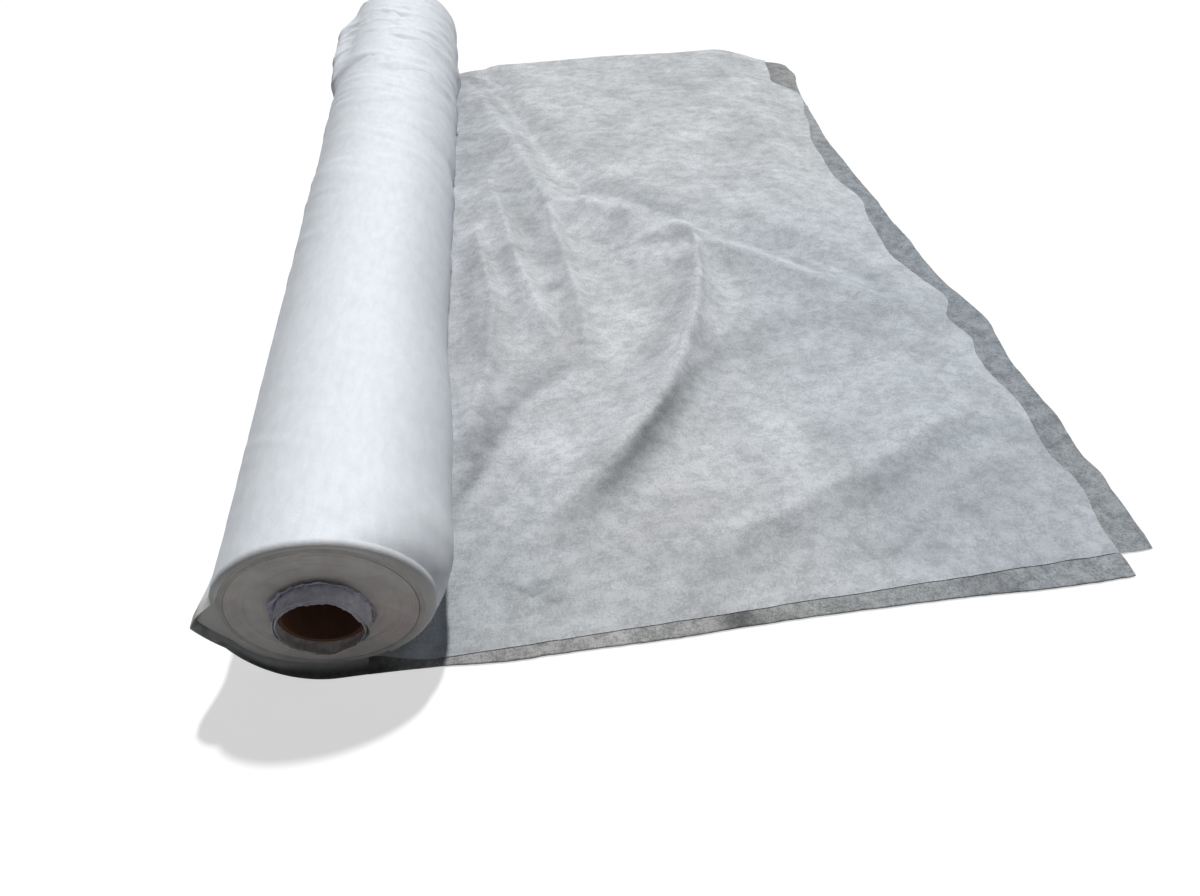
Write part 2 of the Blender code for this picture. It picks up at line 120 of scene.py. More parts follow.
CREASE_LAYERS = (
    (0.50, 0.012, 0.110, 11, 1.0), (-0.55, 0.017, 0.120, 17, 0.8), (0.12, 0.020, 0.160, 23, 0.8),
    (0.62, 0.006, 0.070, 29, 0.35), (0.35, 0.036, 0.180, 43, 1.8),
)
CREASE_DEPTH = 0.0034
DENT_LIMIT = 0.0015
DENT_SOFTNESS = 0.0006
CREASE_PATCH_SIZE = 0.13
CREASE_LEAST_SHARE = 0.35
CREASE_NEAR_SHARE = 0.12
CREASES_GROW = (-0.40, 0.90)

# Colours of the loose turn's near end: painted shade that turns its rim warm grey like the end face,
# and the dark, greenish fringe of the ear's and the flap's edge, painted shade deepest low down

RIM_SHADE_TINT = (0.79, 0.74, 0.68)
RIM_SHADE_REACH = 0.75 * RIM_RADIUS
INNER_RIM_LOW_SHADE = 0.10
FLAP_TINT = (0.98, 1.00, 0.88)
FRINGE_WIDTH = 0.0058
FRINGE_GROWTH = 0.0082
FRINGE_STARTS = (math.radians(182), math.radians(6))
FRINGE_GROWS = (math.radians(222), math.radians(30))
FRINGE_SHARPNESS = 1.4
FRINGE_TONE = 0.64
FRINGE_LOW_SHADE = 0.50
FRINGE_DARKENS = (math.radians(184), math.radians(40))
FRINGE_MOTTLE = 0.45
FRINGE_MOTTLE_SIZE = 0.005
EAR_TIP_SOFTNESS = 0.25
EAR_TIP_LENGTH = 0.020
EAR_TIP_FADE = 0.012
EAR_WARMS = (math.radians(145), math.radians(25))
EAR_WARM_LENGTH = 0.030
EAR_WARM_SHARE = 0.8

# Grid of the loose turn, and the places at which it lies on the ground before the laid web starts

OUTER_COLUMNS = 280
OUTER_ROWS = 290
OUTER_BACK_ROWS = 60
OUTER_BACK_RIM_ROWS = 8
PLY_FOLD_ROWS = 8
RIM_ROWS = 12
INNER_COLUMNS = 220
INNER_ROWS = 90
INNER_FAR_INSET = 0.0008
ON_GROUND = (0.006, 0.013, LAID_START)

# Inner plies of the loose turn: how deep each lies and the share of the standoff that it keeps

INNER_PLIES = (("loose_turn_third_ply", 0.0028, 0.97), ("loose_turn_fourth_ply", 0.0043, 0.80))

# Painted light and shade of the loose turn: how light it is painted by the angle in degrees

TURN_PAINTED_SHADING = (
    (-62, 0.94), (-20, 0.90), (0, 0.92), (12, 0.86), (24, 0.82), (34, 0.83), (44, 0.90), (58, 1.01),
    (80, 1.01), (95, 0.94), (112, 0.89), (125, 0.87), (134, 0.90), (145, 1.09), (160, 1.18),
    (175, 1.04), (270, 1.00),
)

# Laid web

LEAF_NEAR_INSET = 0.0120
LEAF_NEAR_SPREAD = 0.0110
LEAF_EMERGES = 0.070
CURL_DEPTH = 0.0140

# Cut ends of the top ply and of the one under it, from the near edge to the far one, as (y, x), and the
# far edge from the roll to the cut end, as (x, y)

TOP_CUT = (
    (-0.800, 0.873), (-0.770, 0.873), (-0.740, 0.878), (-0.705, 0.887), (-0.675, 0.886),
    (-0.640, 0.878), (-0.600, 0.881), (-0.560, 0.889), (-0.525, 0.889), (-0.480, 0.880),
    (-0.435, 0.881), (-0.390, 0.892), (-0.335, 0.880), (-0.285, 0.901), (-0.220, 0.884),
    (-0.155, 0.863), (-0.090, 0.867), (-0.020, 0.872), (0.050, 0.886), (0.135, 0.866),
    (0.225, 0.870), (0.320, 0.877), (0.415, 0.900), (0.470, 0.906), (0.525, 0.920), (0.575, 0.928),
    (0.610, 0.918), (0.640, 0.892), (0.700, 0.895), (0.800, 0.908),
)
SECOND_CUT = (
    (-0.800, 0.916), (-0.775, 0.919), (-0.745, 0.921), (-0.710, 0.922), (-0.680, 0.926),
    (-0.645, 0.920), (-0.605, 0.923), (-0.570, 0.928), (-0.530, 0.925), (-0.485, 0.925),
    (-0.440, 0.926), (-0.390, 0.932), (-0.340, 0.940), (-0.285, 0.930), (-0.225, 0.919),
    (-0.165, 0.916), (-0.095, 0.917), (-0.025, 0.913), (0.050, 0.915), (0.130, 0.912),
    (0.220, 0.912), (0.315, 0.910), (0.420, 0.918), (0.530, 0.927), (0.600, 0.934), (0.680, 0.945),
    (0.745, 0.956), (0.800, 0.952),
)
FAR_EDGE = (
    (0.000, 0.800), (0.220, 0.816), (0.440, 0.826), (0.700, 0.823), (0.815, 0.819), (0.860, 0.811),
    (0.912, 0.781), (0.947, 0.756), (0.958, 0.735), (0.980, 0.700),
)

# Near edge of the lower plies, which the others leave in sight as a strip, as (x, y)

STRIP_EDGE = (
    (0.018, -0.8146), (0.060, -0.8154), (0.100, -0.8166), (0.160, -0.821), (0.220, -0.820),
    (0.350, -0.820), (0.420, -0.8175), (0.480, -0.8165), (0.620, -0.8165), (0.690, -0.8175),
    (0.760, -0.820), (0.830, -0.820), (0.880, -0.818),
)

# Ridges of the laid web: places along its crest as (x, y, height), then the widths of its left and its
# right side, looking along the places, how round its crest is, and how much lighter it is painted
# along its crest, a painted highlight

MAIN_RIDGE = (
    (0.120, 0.790, 0.004), (0.169, 0.683, 0.013), (0.202, 0.552, 0.017), (0.235, 0.407, 0.020),
    (0.261, 0.289, 0.022), (0.282, 0.177, 0.024), (0.296, 0.110, 0.022), (0.320, 0.095, 0.019),
    (0.346, 0.096, 0.023), (0.375, 0.082, 0.026), (0.403, 0.058, 0.021), (0.425, 0.032, 0.029),
    (0.449, 0.002, 0.022), (0.480, -0.024, 0.025), (0.520, -0.062, 0.033), (0.550, -0.090, 0.024),
    (0.582, -0.104, 0.021), (0.641, -0.147, 0.019), (0.681, -0.194, 0.017), (0.736, -0.232, 0.014),
    (0.786, -0.280, 0.011), (0.880, -0.340, 0.006),
)
PEAK_RIDGE = (
    (0.520, -0.062, 0.033), (0.525, -0.119, 0.031), (0.503, -0.232, 0.030), (0.479, -0.308, 0.030),
    (0.437, -0.398, 0.029), (0.393, -0.478, 0.027), (0.350, -0.530, 0.023), (0.298, -0.573, 0.017),
    (0.254, -0.621, 0.012), (0.200, -0.668, 0.007), (0.130, -0.720, 0.002),
)
NEAR_ROLL_RIDGE = (
    (0.158, 0.070, 0.004), (0.160, 0.038, 0.011), (0.166, -0.044, 0.014), (0.172, -0.123, 0.014),
    (0.175, -0.181, 0.014), (0.173, -0.259, 0.013), (0.164, -0.352, 0.012), (0.149, -0.410, 0.012),
    (0.131, -0.480, 0.008),
)
SECOND_RIDGE = (
    (0.186, 0.260, 0.003), (0.194, 0.180, 0.012), (0.203, 0.098, 0.016), (0.215, 0.000, 0.018),
    (0.227, -0.094, 0.018), (0.239, -0.171, 0.018), (0.251, -0.233, 0.016), (0.263, -0.285, 0.009),
    (0.262, -0.340, 0.003),
)
THIRD_RIDGE = (
    (0.290, 0.118, 0.016), (0.295, 0.058, 0.016), (0.301, -0.002, 0.017), (0.307, -0.070, 0.018),
    (0.311, -0.130, 0.018), (0.315, -0.200, 0.018), (0.317, -0.275, 0.014), (0.315, -0.340, 0.005),
)
LOW_RIDGE = (
    (0.860, -0.520, 0.004), (0.800, -0.540, 0.010), (0.735, -0.565, 0.014), (0.663, -0.612, 0.014),
    (0.597, -0.642, 0.014), (0.532, -0.668, 0.012), (0.448, -0.695, 0.008), (0.340, -0.725, 0.003),
)
CORNER_RIDGE = (
    (0.135, 0.800, 0.010), (0.180, 0.775, 0.012), (0.225, 0.715, 0.010), (0.245, 0.640, 0.004),
)
RIDGES = (
    (MAIN_RIDGE, 0.027, 0.040, 0.0140, 0.015),
    (PEAK_RIDGE, 0.021, 0.055, 0.0050, 0.080),
    (NEAR_ROLL_RIDGE, 0.018, 0.028, 0.0030, 0.080),
    (SECOND_RIDGE, 0.018, 0.032, 0.0030, 0.090),
    (THIRD_RIDGE, 0.018, 0.034, 0.0026, 0.110),
    (LOW_RIDGE, 0.024, 0.060, 0.0060, 0.020),
    (CORNER_RIDGE, 0.012, 0.024, 0.0040, 0.040),
)

# Lumps of the crest, where it's crumpled: place, half sizes along x and y, and height

LUMPS = (
    (0.342, 0.080, 0.030, 0.022, 0.008), (0.424, 0.030, 0.016, 0.024, 0.009),
    (0.478, -0.052, 0.040, 0.026, 0.008), (0.470, -0.110, 0.036, 0.040, 0.006),
    (0.370, -0.028, 0.026, 0.012, -0.004), (0.410, -0.088, 0.012, 0.032, -0.004),
    (0.516, -0.092, 0.010, 0.024, -0.010),
)

# The long trough of the far part, beyond which the web rises like a pillow, and how dark it is there:
# partly painted shade, partly where the plies lie close and the ground shows through

BAND_TROUGH = (
    (0.040, 1.200), (0.140, 0.830), (0.191, 0.690), (0.241, 0.511), (0.280, 0.343), (0.318, 0.240),
    (0.351, 0.172), (0.412, 0.117), (0.476, 0.049), (0.556, -0.012), (0.629, -0.083),
    (0.699, -0.147), (0.763, -0.211), (0.850, -0.290), (1.300, -0.680),
)
BAND_SHADE = (
    (0.140, 0.830, 0.16), (0.191, 0.690, 0.18), (0.241, 0.511, 0.15), (0.272, 0.343, 0.11),
    (0.295, 0.235, 0.14), (0.330, 0.192, 0.17), (0.380, 0.169, 0.13), (0.463, 0.110, 0.14),
    (0.515, 0.055, 0.19), (0.550, 0.005, 0.18), (0.589, -0.030, 0.18), (0.649, -0.081, 0.17),
    (0.724, -0.180, 0.14), (0.794, -0.265, 0.11), (0.880, -0.350, 0.07),
)

# Troughs and shaded spots, dark partly where the plies lie close and the ground shows through, and
# partly as painted shade of the folds and painted shadows of the lumps: places along each with its
# darkness there, then how far it spreads to its left and to its right, looking along the places

TROUGHS = (
    (BAND_SHADE, 0.016, 0.014),
    (((0.675, -0.190, 0.08), (0.750, -0.240, 0.12), (0.830, -0.290, 0.12), (0.895, -0.330, 0.08)),
     0.020, 0.020),
    (((0.580, -0.104, 0.14), (0.572, -0.160, 0.10)), 0.024, 0.024),
    (((0.560, -0.270, 0.16), (0.505, -0.352, 0.24), (0.447, -0.412, 0.30), (0.391, -0.489, 0.46),
      (0.365, -0.527, 0.54), (0.334, -0.568, 0.50), (0.303, -0.606, 0.34), (0.262, -0.636, 0.24),
      (0.240, -0.652, 0.10)),
     0.026, 0.008),
    (((0.490, -0.356, 0.18), (0.545, -0.345, 0.22), (0.600, -0.318, 0.17), (0.670, -0.268, 0.12)),
     0.040, 0.036),
    (((0.512, -0.130, 0.08), (0.466, -0.237, 0.13), (0.423, -0.334, 0.15), (0.385, -0.410, 0.12)),
     0.024, 0.026),
    (((0.160, -0.690, 0.05), (0.207, -0.635, 0.08), (0.277, -0.562, 0.08), (0.335, -0.520, 0.05)),
     0.012, 0.010),
    (((0.322, -0.354, 0.16), (0.290, -0.360, 0.20), (0.256, -0.374, 0.16)), 0.015, 0.015),
    (((0.256, -0.374, 0.26), (0.217, -0.404, 0.28), (0.184, -0.446, 0.30), (0.163, -0.494, 0.36),
      (0.141, -0.545, 0.38), (0.121, -0.580, 0.34), (0.106, -0.630, 0.26)),
     0.011, 0.032),
    (((0.871, -0.568, 0.12), (0.813, -0.570, 0.14), (0.760, -0.588, 0.15), (0.710, -0.614, 0.15),
      (0.660, -0.647, 0.15), (0.598, -0.669, 0.17), (0.531, -0.695, 0.16), (0.433, -0.728, 0.12),
      (0.392, -0.742, 0.08)),
     0.022, 0.017),
    (((0.500, -0.072, 0.16), (0.514, -0.090, 0.26), (0.522, -0.116, 0.22)), 0.009, 0.011),
    (((0.497, -0.180, 0.12), (0.465, -0.215, 0.15), (0.430, -0.251, 0.10)), 0.008, 0.012),
    (((0.340, -0.004, 0.08), (0.362, -0.014, 0.12), (0.398, -0.036, 0.10)), 0.007, 0.009),
    (((0.399, -0.056, 0.10), (0.408, -0.090, 0.14), (0.415, -0.123, 0.11)), 0.009, 0.009),
    (((0.360, 0.104, 0.08), (0.374, 0.066, 0.14), (0.388, 0.030, 0.12)), 0.006, 0.006),
    (((0.300, 0.040, 0.08), (0.318, 0.020, 0.12), (0.332, -0.012, 0.10)), 0.005, 0.006),
    (((0.221, 0.190, 0.18), (0.238, 0.091, 0.20), (0.256, 0.010, 0.17), (0.270, -0.080, 0.12)),
     0.030, 0.030),
    (((0.262, -0.158, 0.24), (0.278, -0.160, 0.26), (0.298, -0.152, 0.16)), 0.013, 0.013),
    (((0.140, 0.345, 0.15), (0.150, 0.300, 0.12)), 0.035, 0.035),
    (((0.136, -0.020, 0.14), (0.140, -0.158, 0.14), (0.140, -0.290, 0.14)), 0.015, 0.015),
    (((0.125, 0.780, 0.10), (0.140, 0.640, 0.14), (0.145, 0.480, 0.10), (0.150, 0.380, 0.06)),
     0.040, 0.040),
    (((0.195, 0.040, 0.05), (0.205, -0.090, 0.09), (0.222, -0.190, 0.09), (0.235, -0.250, 0.05)),
     0.012, 0.012),
    (((0.112, -0.690, 0.14), (0.104, -0.760, 0.18), (0.118, -0.800, 0.16)), 0.030, 0.030),
    (((0.626, 0.731, 0.09), (0.646, 0.631, 0.11), (0.654, 0.530, 0.08)), 0.060, 0.060),
    (((0.771, -0.679, 0.09), (0.727, -0.645, 0.09)), 0.060, 0.060),
    (((0.680, -0.724, 0.08), (0.572, -0.736, 0.08)), 0.022, 0.022),
    (((0.640, -0.545, 0.10), (0.610, -0.556, 0.10)), 0.030, 0.030),
    (((0.274, -0.708, 0.14), (0.260, -0.692, 0.18), (0.245, -0.677, 0.12)), 0.020, 0.020),
    (((0.158, -0.722, 0.14), (0.195, -0.738, 0.24), (0.230, -0.757, 0.18)), 0.011, 0.008),
    (((0.200, -0.735, 0.12), (0.232, -0.722, 0.20), (0.267, -0.705, 0.14)), 0.009, 0.012),
    (((0.199, -0.725, 0.06), (0.130, -0.710, 0.08), (0.227, -0.758, 0.06)), 0.045, 0.045),
    (((0.740, -0.300, 0.08), (0.640, -0.330, 0.08)), 0.030, 0.030),
    (((0.500, -0.205, 0.06), (0.575, -0.200, 0.08)), 0.025, 0.025),
    (((0.790, -0.175, 0.14), (0.805, -0.245, 0.13)), 0.030, 0.030),
    (((0.560, -0.728, 0.10), (0.615, -0.744, 0.17), (0.665, -0.758, 0.12)), 0.024, 0.024),
    (((0.315, 0.250, 0.08), (0.264, 0.170, 0.07)), 0.022, 0.022),
)

# Places that catch the light: places along each with how much lighter it is there, and its half width

LIGHTS = (
    (((0.305, 0.078, 0.12), (0.345, 0.082, 0.17), (0.376, 0.074, 0.14)), 0.017),
    (((0.320, 0.046, 0.07), (0.350, 0.042, 0.08)), 0.018),
    (((0.402, 0.040, 0.17), (0.420, 0.022, 0.20), (0.432, -0.004, 0.14)), 0.012),
    (((0.436, -0.034, 0.13), (0.478, -0.052, 0.18), (0.510, -0.062, 0.15)), 0.013),
    (((0.440, -0.078, 0.11), (0.474, -0.110, 0.14), (0.484, -0.142, 0.06)), 0.026),
    (((0.300, 0.010, 0.04), (0.330, -0.060, 0.04), (0.338, -0.110, 0.03)), 0.016),
    (((0.358, -0.110, 0.03), (0.368, -0.214, 0.05), (0.352, -0.338, 0.05)), 0.030),
    (((0.395, -0.170, 0.05), (0.398, -0.240, 0.05)), 0.014),
    (((0.171, -0.763, 0.07), (0.194, -0.755, 0.09), (0.214, -0.750, 0.05)), 0.008),
    (((0.240, -0.430, 0.05), (0.205, -0.500, 0.05), (0.175, -0.580, 0.04)), 0.034),
    (((0.225, -0.120, 0.03), (0.245, -0.230, 0.04), (0.262, -0.300, 0.03)), 0.020),
    (((0.300, 0.390, 0.03), (0.360, 0.270, 0.05), (0.420, 0.200, 0.06), (0.560, 0.080, 0.06)), 0.046),
    (((0.397, 0.146, 0.05), (0.434, 0.140, 0.11), (0.478, 0.112, 0.05)), 0.020),
    (((0.340, 0.070, 0.06), (0.385, 0.063, 0.08)), 0.016),
    (((0.376, 0.034, 0.12), (0.412, -0.007, 0.12), (0.454, -0.021, 0.08), (0.487, -0.037, 0.05)),
     0.018),
    (((0.548, 0.035, 0.07), (0.593, 0.027, 0.07), (0.619, -0.050, 0.06)), 0.025),
    (((0.642, -0.140, 0.06), (0.690, -0.190, 0.08), (0.730, -0.240, 0.05)), 0.020),
    (((0.642, -0.274, 0.08), (0.708, -0.271, 0.12), (0.760, -0.275, 0.10)), 0.028),
    (((0.100, -0.600, 0.08), (0.160, -0.611, 0.14), (0.204, -0.619, 0.08)), 0.028),
    (((0.301, -0.634, 0.15), (0.338, -0.640, 0.13)), 0.022),
    (((0.297, -0.690, 0.14), (0.279, -0.707, 0.12)), 0.022),
    (((0.277, -0.795, 0.15), (0.321, -0.800, 0.15), (0.363, -0.805, 0.10)), 0.018),
)

# How high the laid web's folds and fine crumples are, and how far it lies flat along its borders; its
# streaks are layers, each with its stretch, lean, size, random seed and strength

FOLD_WAVER = 0.003
FOLD_WAVER_SIZE = 0.05
FOLD_GAIN = 1.25
FOLD_SPILL = 0.2
PILLOW_HEIGHT = 0.021
PILLOW_RISE = 0.085
LUMP_CRUMPLE = 0.0030
LUMP_CRUMPLE_SIZE = 0.018
EDGE_PUFF_HEIGHT = 0.0220
EDGE_PUFF_HALF_WIDTH = 0.075
STREAK_LAYERS = ((7.0, 0.0, 0.011, 107, 1.0), (5.0, 0.2, 0.017, 109, 0.8))
STREAK_HEIGHT = 0.0005
STREAKS_RISE = (-0.1, 0.4)
CRUMPLE_HEIGHT = 0.0014
CRUMPLE_SIZE = 0.060
CRUMPLES_DOUBLE = (0.5, -0.3)
FLAT_BY_ROLL = 0.060
RISE_FROM_ROLL = 0.070
FLAT_BY_EDGE = 0.060
FLAT_BY_CUT = 0.130

# Grids of the leaves, how ragged their edges are, and the steps between the plies

TOP_GRID = (230, 430)
CURL_ROWS = 12
CURL_TONE = 0.95
SECOND_GRID = (150, 260)
ROW_CROWDING = 0.3
COLUMN_CROWDING = 0.5
MOST_CROWDING = 0.9
RAG_SIZE = 0.030
CUT_RAG = 0.0014
EDGE_RAG = 0.0010
LEAF_GAP = 0.0003
SECOND_ROOM = 0.0013
SECOND_ROOM_FROM_EDGE = 0.008
CUT_SINKS = (0.86, 0.03)
TOP_SINK = 0.0020
SECOND_SINK = 0.0022
SECOND_DRAWN_IN = 0.006
DRAWN_IN_ENDS = (0.87, -0.02)
DRAWN_IN_WIDTH = 0.05

# Tone of the top ply: darker over parts of it, and painted light at the roll's foot in its shadow,
# each with where it comes in along x and along y, as the ramps' (start, length); then painted shade
# by the roll and at its foot, its clouds, streaks and creases, and its tints

EVERYWHERE = (-1.0, 1.0)
# Painted light in the roll's shadow at its foot, for the light that the roll's side throws down
ROLL_FOOT_PAINTED_LIGHT = 0.34
PART_SHADES = (
    (-0.09, (0.50, 0.25), (-0.05, -0.35)),
    (-0.09, EVERYWHERE, (-0.56, -0.10)),
    (ROLL_FOOT_PAINTED_LIGHT, (0.108, -0.020), (-0.50, -0.12)),
)
PLAIN_TONE = 0.975
# Painted shade by the roll and at its foot
BY_ROLL_LOSS = 0.07
BY_ROLL_END = 0.40
BY_ROLL_LEAN = 0.15
BY_ROLL_LENGTH = 0.20
FOOT_LOSS = 0.09
FOOT_ENDS = (0.25, -0.12)
TONE_WAVER = 0.004
TROUGH_MOTTLE = 0.35
CREST_LIFT = 0.016
CREST_WIDTH = 0.0040
CLOUDS = 0.058
CLOUDS_BY_ROLL = 0.04
STREAKS = 0.110
STREAKS_START = (-0.05, 0.35)
CREASES = 0.160
BEADS = (0.6, 1.2)
COOL_SHADE = 0.20
WARM_ENDS = (0.7, -0.3)
BLUE_PART = ((0.40, 0.40), (0.3, -0.6))
BLUE_TINT = (-0.040, 0.0, 0.040)
WARM_TINT = (0.014, -0.006, -0.010)
COOL_TINT = (-0.014, 0.0, 0.006)

# Tone of the plies in the margins, and patches of the near strip, each with its share, place and width

MARGIN_CLOUDS = 0.06
MARGIN_LIGHT = ((0.28, 0.46, 0.12),)
MARGIN_WARMTH = 0.03
MARGIN_WARMS = (-0.40, -0.30)
MARGIN_BLUE = 0.07
MARGIN_BLUE_PART = ((0.35, 0.45), (0.5, -0.5))
NEAR_STRIP_TONE = 1.03
STRIP_DARK = ((0.58, 0.418, 0.022), (0.28, 0.712, 0.030), (0.10, 0.14, 0.05))
STRIP_LIGHT = ((0.12, 0.28, 0.06),)
STRIP_MOTTLE = 0.06
LIP_STARTS = (-0.802, -0.012)
FOOT_SHADE = 0.10
FOOT_LIP_SHADE = 0.55
FOOT_SHADE_ENDS = (0.075, -0.045)
DEEP_SHADE = 0.40
DEEP_SHADE_ENDS = (0.052, -0.034)

# Grid of the lower plies, and how their edges waver

LOWER_COLUMNS = 180
LOWER_ROWS = 60
LOWER_CROWDING = 1.8
LOWER_BEND_ROWS = 8
LOWER_CORNER = 0.004
LOWER_CORNER_SHARPNESS = 30
LOWER_RAG = 0.002
LOWER_RAG_SIZE = 0.04
LOWER_WAVER = 0.0006
LOWER_WAVER_SIZE = 0.012

# Noise: cells of its grid before it repeats, and what its layers' strengths come to

NOISE_CELLS = 256
LAYERS_SUM = 1.6


def ease(value):
    """0 below 0, 1 above 1 and an easy curve between."""
    clamped = np.clip(value, 0.0, 1.0)
    return clamped * clamped * (3.0 - 2.0 * clamped)


def ramp(value, start, length):
    """0 up to the start and 1 from a length past it on; a negative length goes the other way."""
    return ease((value - start) / length)


def hump(offset, half_width):
    """1 at no offset, falling to 0 at the half width."""
    return np.cos(np.clip(np.abs(offset) / half_width, 0.0, 1.0) * math.pi / 2) ** 2


def fade(offset, length):
    """1 at no offset, dying away over the length."""
    return np.exp(-((offset / length) ** 2))


def curve_through(value, places):
    """A smooth curve through places, each an input with its height."""
    inputs, heights = np.array(places).T
    slopes = np.gradient(heights, inputs)
    leg = np.clip(np.searchsorted(inputs, value) - 1, 0, len(inputs) - 2)
    run = inputs[leg + 1] - inputs[leg]
    share = np.clip((value - inputs[leg]) / run, 0.0, 1.0)
    rise = heights[leg] * (1 - ease(share)) + heights[leg + 1] * ease(share)
    lean = share * (1 - share) ** 2 * slopes[leg] - share**2 * (1 - share) * slopes[leg + 1]
    return rise + lean * run


def soft_noise(x, y, size, seed):
    """Smooth noise from -1 to 1 that varies over the given size."""
    count = NOISE_CELLS
    grid = np.random.default_rng(seed).uniform(-1.0, 1.0, (count, count))
    u = x / size
    v = y / size
    column = np.floor(u).astype(int)
    row = np.floor(v).astype(int)
    s = ease(u - column)
    t = ease(v - row)
    low = grid[column % count, row % count] * (1 - s) + grid[(column + 1) % count, row % count] * s
    row = row + 1
    high = grid[column % count, row % count] * (1 - s) + grid[(column + 1) % count, row % count] * s
    return low * (1 - t) + high * t


def layered_noise(x, y, size, seed, layers=4):
    """Noise of several sizes, each half the last and half as strong."""
    total = 0.0
    for layer in range(layers):
        total = total + soft_noise(x, y, size / 2**layer, seed + layer) / 2**layer
    return total / LAYERS_SUM


def on_roll(radius, angle, along):
    """Points at a radius and an angle round the roll's axis."""
    return np.stack([radius * np.cos(angle), along, AXIS_HEIGHT + radius * np.sin(angle)], axis=-1)


# Meshes from grids of points

SHARP_ANGLE = math.radians(50)


def add_object(name, data):
    """An object of its own in the scene."""
    added = bpy.data.objects.new(name, data)
    bpy.context.scene.collection.objects.link(added)
    return added


def mesh_object(name, points, faces, material, tints=None):
    """A smooth-shaded object from points, four-sided faces and a colour for each point."""
    mesh = bpy.data.meshes.new(name)
    mesh.vertices.add(len(points))
    mesh.vertices.foreach_set("co", np.asarray(points, np.float32).ravel())
    mesh.loops.add(len(faces) * 4)
    mesh.loops.foreach_set("vertex_index", np.asarray(faces, np.int32).ravel())
    mesh.polygons.add(len(faces))
    mesh.polygons.foreach_set("loop_start", np.arange(0, len(faces) * 4, 4, dtype=np.int32))
    mesh.update(calc_edges=True)
    if tints is None:
        tints = np.ones((len(points), 3))
    colours = np.concatenate([tints, np.ones((len(points), 1))], axis=1)
    layer = mesh.color_attributes.new("tint", "FLOAT_COLOR", "POINT")
    layer.data.foreach_set("color", colours.astype(np.float32).ravel())
    mesh.shade_smooth()
    mesh.set_sharp_from_angle(angle=SHARP_ANGLE)
    mesh.materials.append(material)
    return add_object(name, mesh)


def grid_faces(rows, columns, first=0, wrap_rows=False, wrap_columns=False):
    """Four-sided faces of a grid of numbered points."""
    row = np.arange(rows if wrap_rows else rows - 1)
    column = np.arange(columns if wrap_columns else columns - 1)
    r, c = (grid.ravel() for grid in np.meshgrid(row, column, indexing="ij"))
    right = (c + 1) % columns
    below = (r + 1) % rows
    corners = [r * columns + c, r * columns + right, below * columns + right, below * columns + c]
    return np.stack(corners, axis=1) + first


def thin_sheet(name, front, thickness, material, tints=None, wrap_columns=False):
    """A sheet with a thickness behind its front, a grid of points in rows and columns."""
    rows, columns = front.shape[:2]
    along_rows = np.gradient(front, axis=0)
    if wrap_columns:
        along_columns = np.roll(front, -1, axis=1) - np.roll(front, 1, axis=1)
    else:
        along_columns = np.gradient(front, axis=1)
    normal = np.cross(along_rows, along_columns)
    normal /= np.linalg.norm(normal, axis=2, keepdims=True) + 1e-12
    back = front + normal * thickness
    points = np.concatenate([front.reshape(-1, 3), back.reshape(-1, 3)])
    count = rows * columns
    front_faces = grid_faces(rows, columns, wrap_columns=wrap_columns)[:, ::-1]
    back_faces = grid_faces(rows, columns, first=count, wrap_columns=wrap_columns)
    rims = [np.arange(columns), np.arange(columns)[::-1] + (rows - 1) * columns]
    if wrap_columns:
        rims = [np.append(rim, rim[0]) for rim in rims]
    else:
        rims += [np.arange(rows)[::-1] * columns, np.arange(rows) * columns + columns - 1]
    sides = [
        np.stack([rim[:-1], rim[1:], rim[1:] + count, rim[:-1] + count], axis=1) for rim in rims
    ]
    faces = np.concatenate([front_faces, back_faces, *sides])
    if tints is not None:
        tints = np.concatenate([tints.reshape(-1, 3), tints.reshape(-1, 3)])
    return mesh_object(name, points, faces, material, tints)


# Materials: each fleece with its light and dark colour, the size and range of its clouds, the size and
# share of its grain and how its clouds are stretched; then the colours of the end face and the core

FLEECES = {
    "roll_fleece": (
        (0.878, 0.928, 0.988), (0.795, 0.845, 0.918),
        0.025, (0.30, 0.66), 0.0016, 0.30, 0.35,
    ),
    "laid_fleece": (
        (0.668, 0.700, 0.736), (0.458, 0.485, 0.512),
        0.016, (0.30, 0.66), 0.0026, 0.75, 1.3,
    ),
    "margin_fleece": (
        (0.402, 0.415, 0.428), (0.190, 0.202, 0.212),
        0.020, (0.30, 0.68), 0.0026, 0.75, 1.0,
    ),
    "collar_fleece": (
        (0.66, 0.66, 0.72), (0.46, 0.46, 0.51),
        0.006, (0.3, 0.7), 0.0010, 0.25, 1.0,
    ),
}
END_DARK = (0.57, 0.548, 0.528, 1.0)
END_LIGHT = (0.69, 0.672, 0.650, 1.0)
BOARD_DARK = (0.13, 0.055, 0.030, 1.0)
BOARD_LIGHT = (0.24, 0.115, 0.065, 1.0)
BOARD_SPOTS = (0.17, 0.08, 0.05, 1.0)


def set_inputs(node, **values):
    """Sets inputs of a node by their names."""
    for socket, value in values.items():
        node.inputs[socket].default_value = value


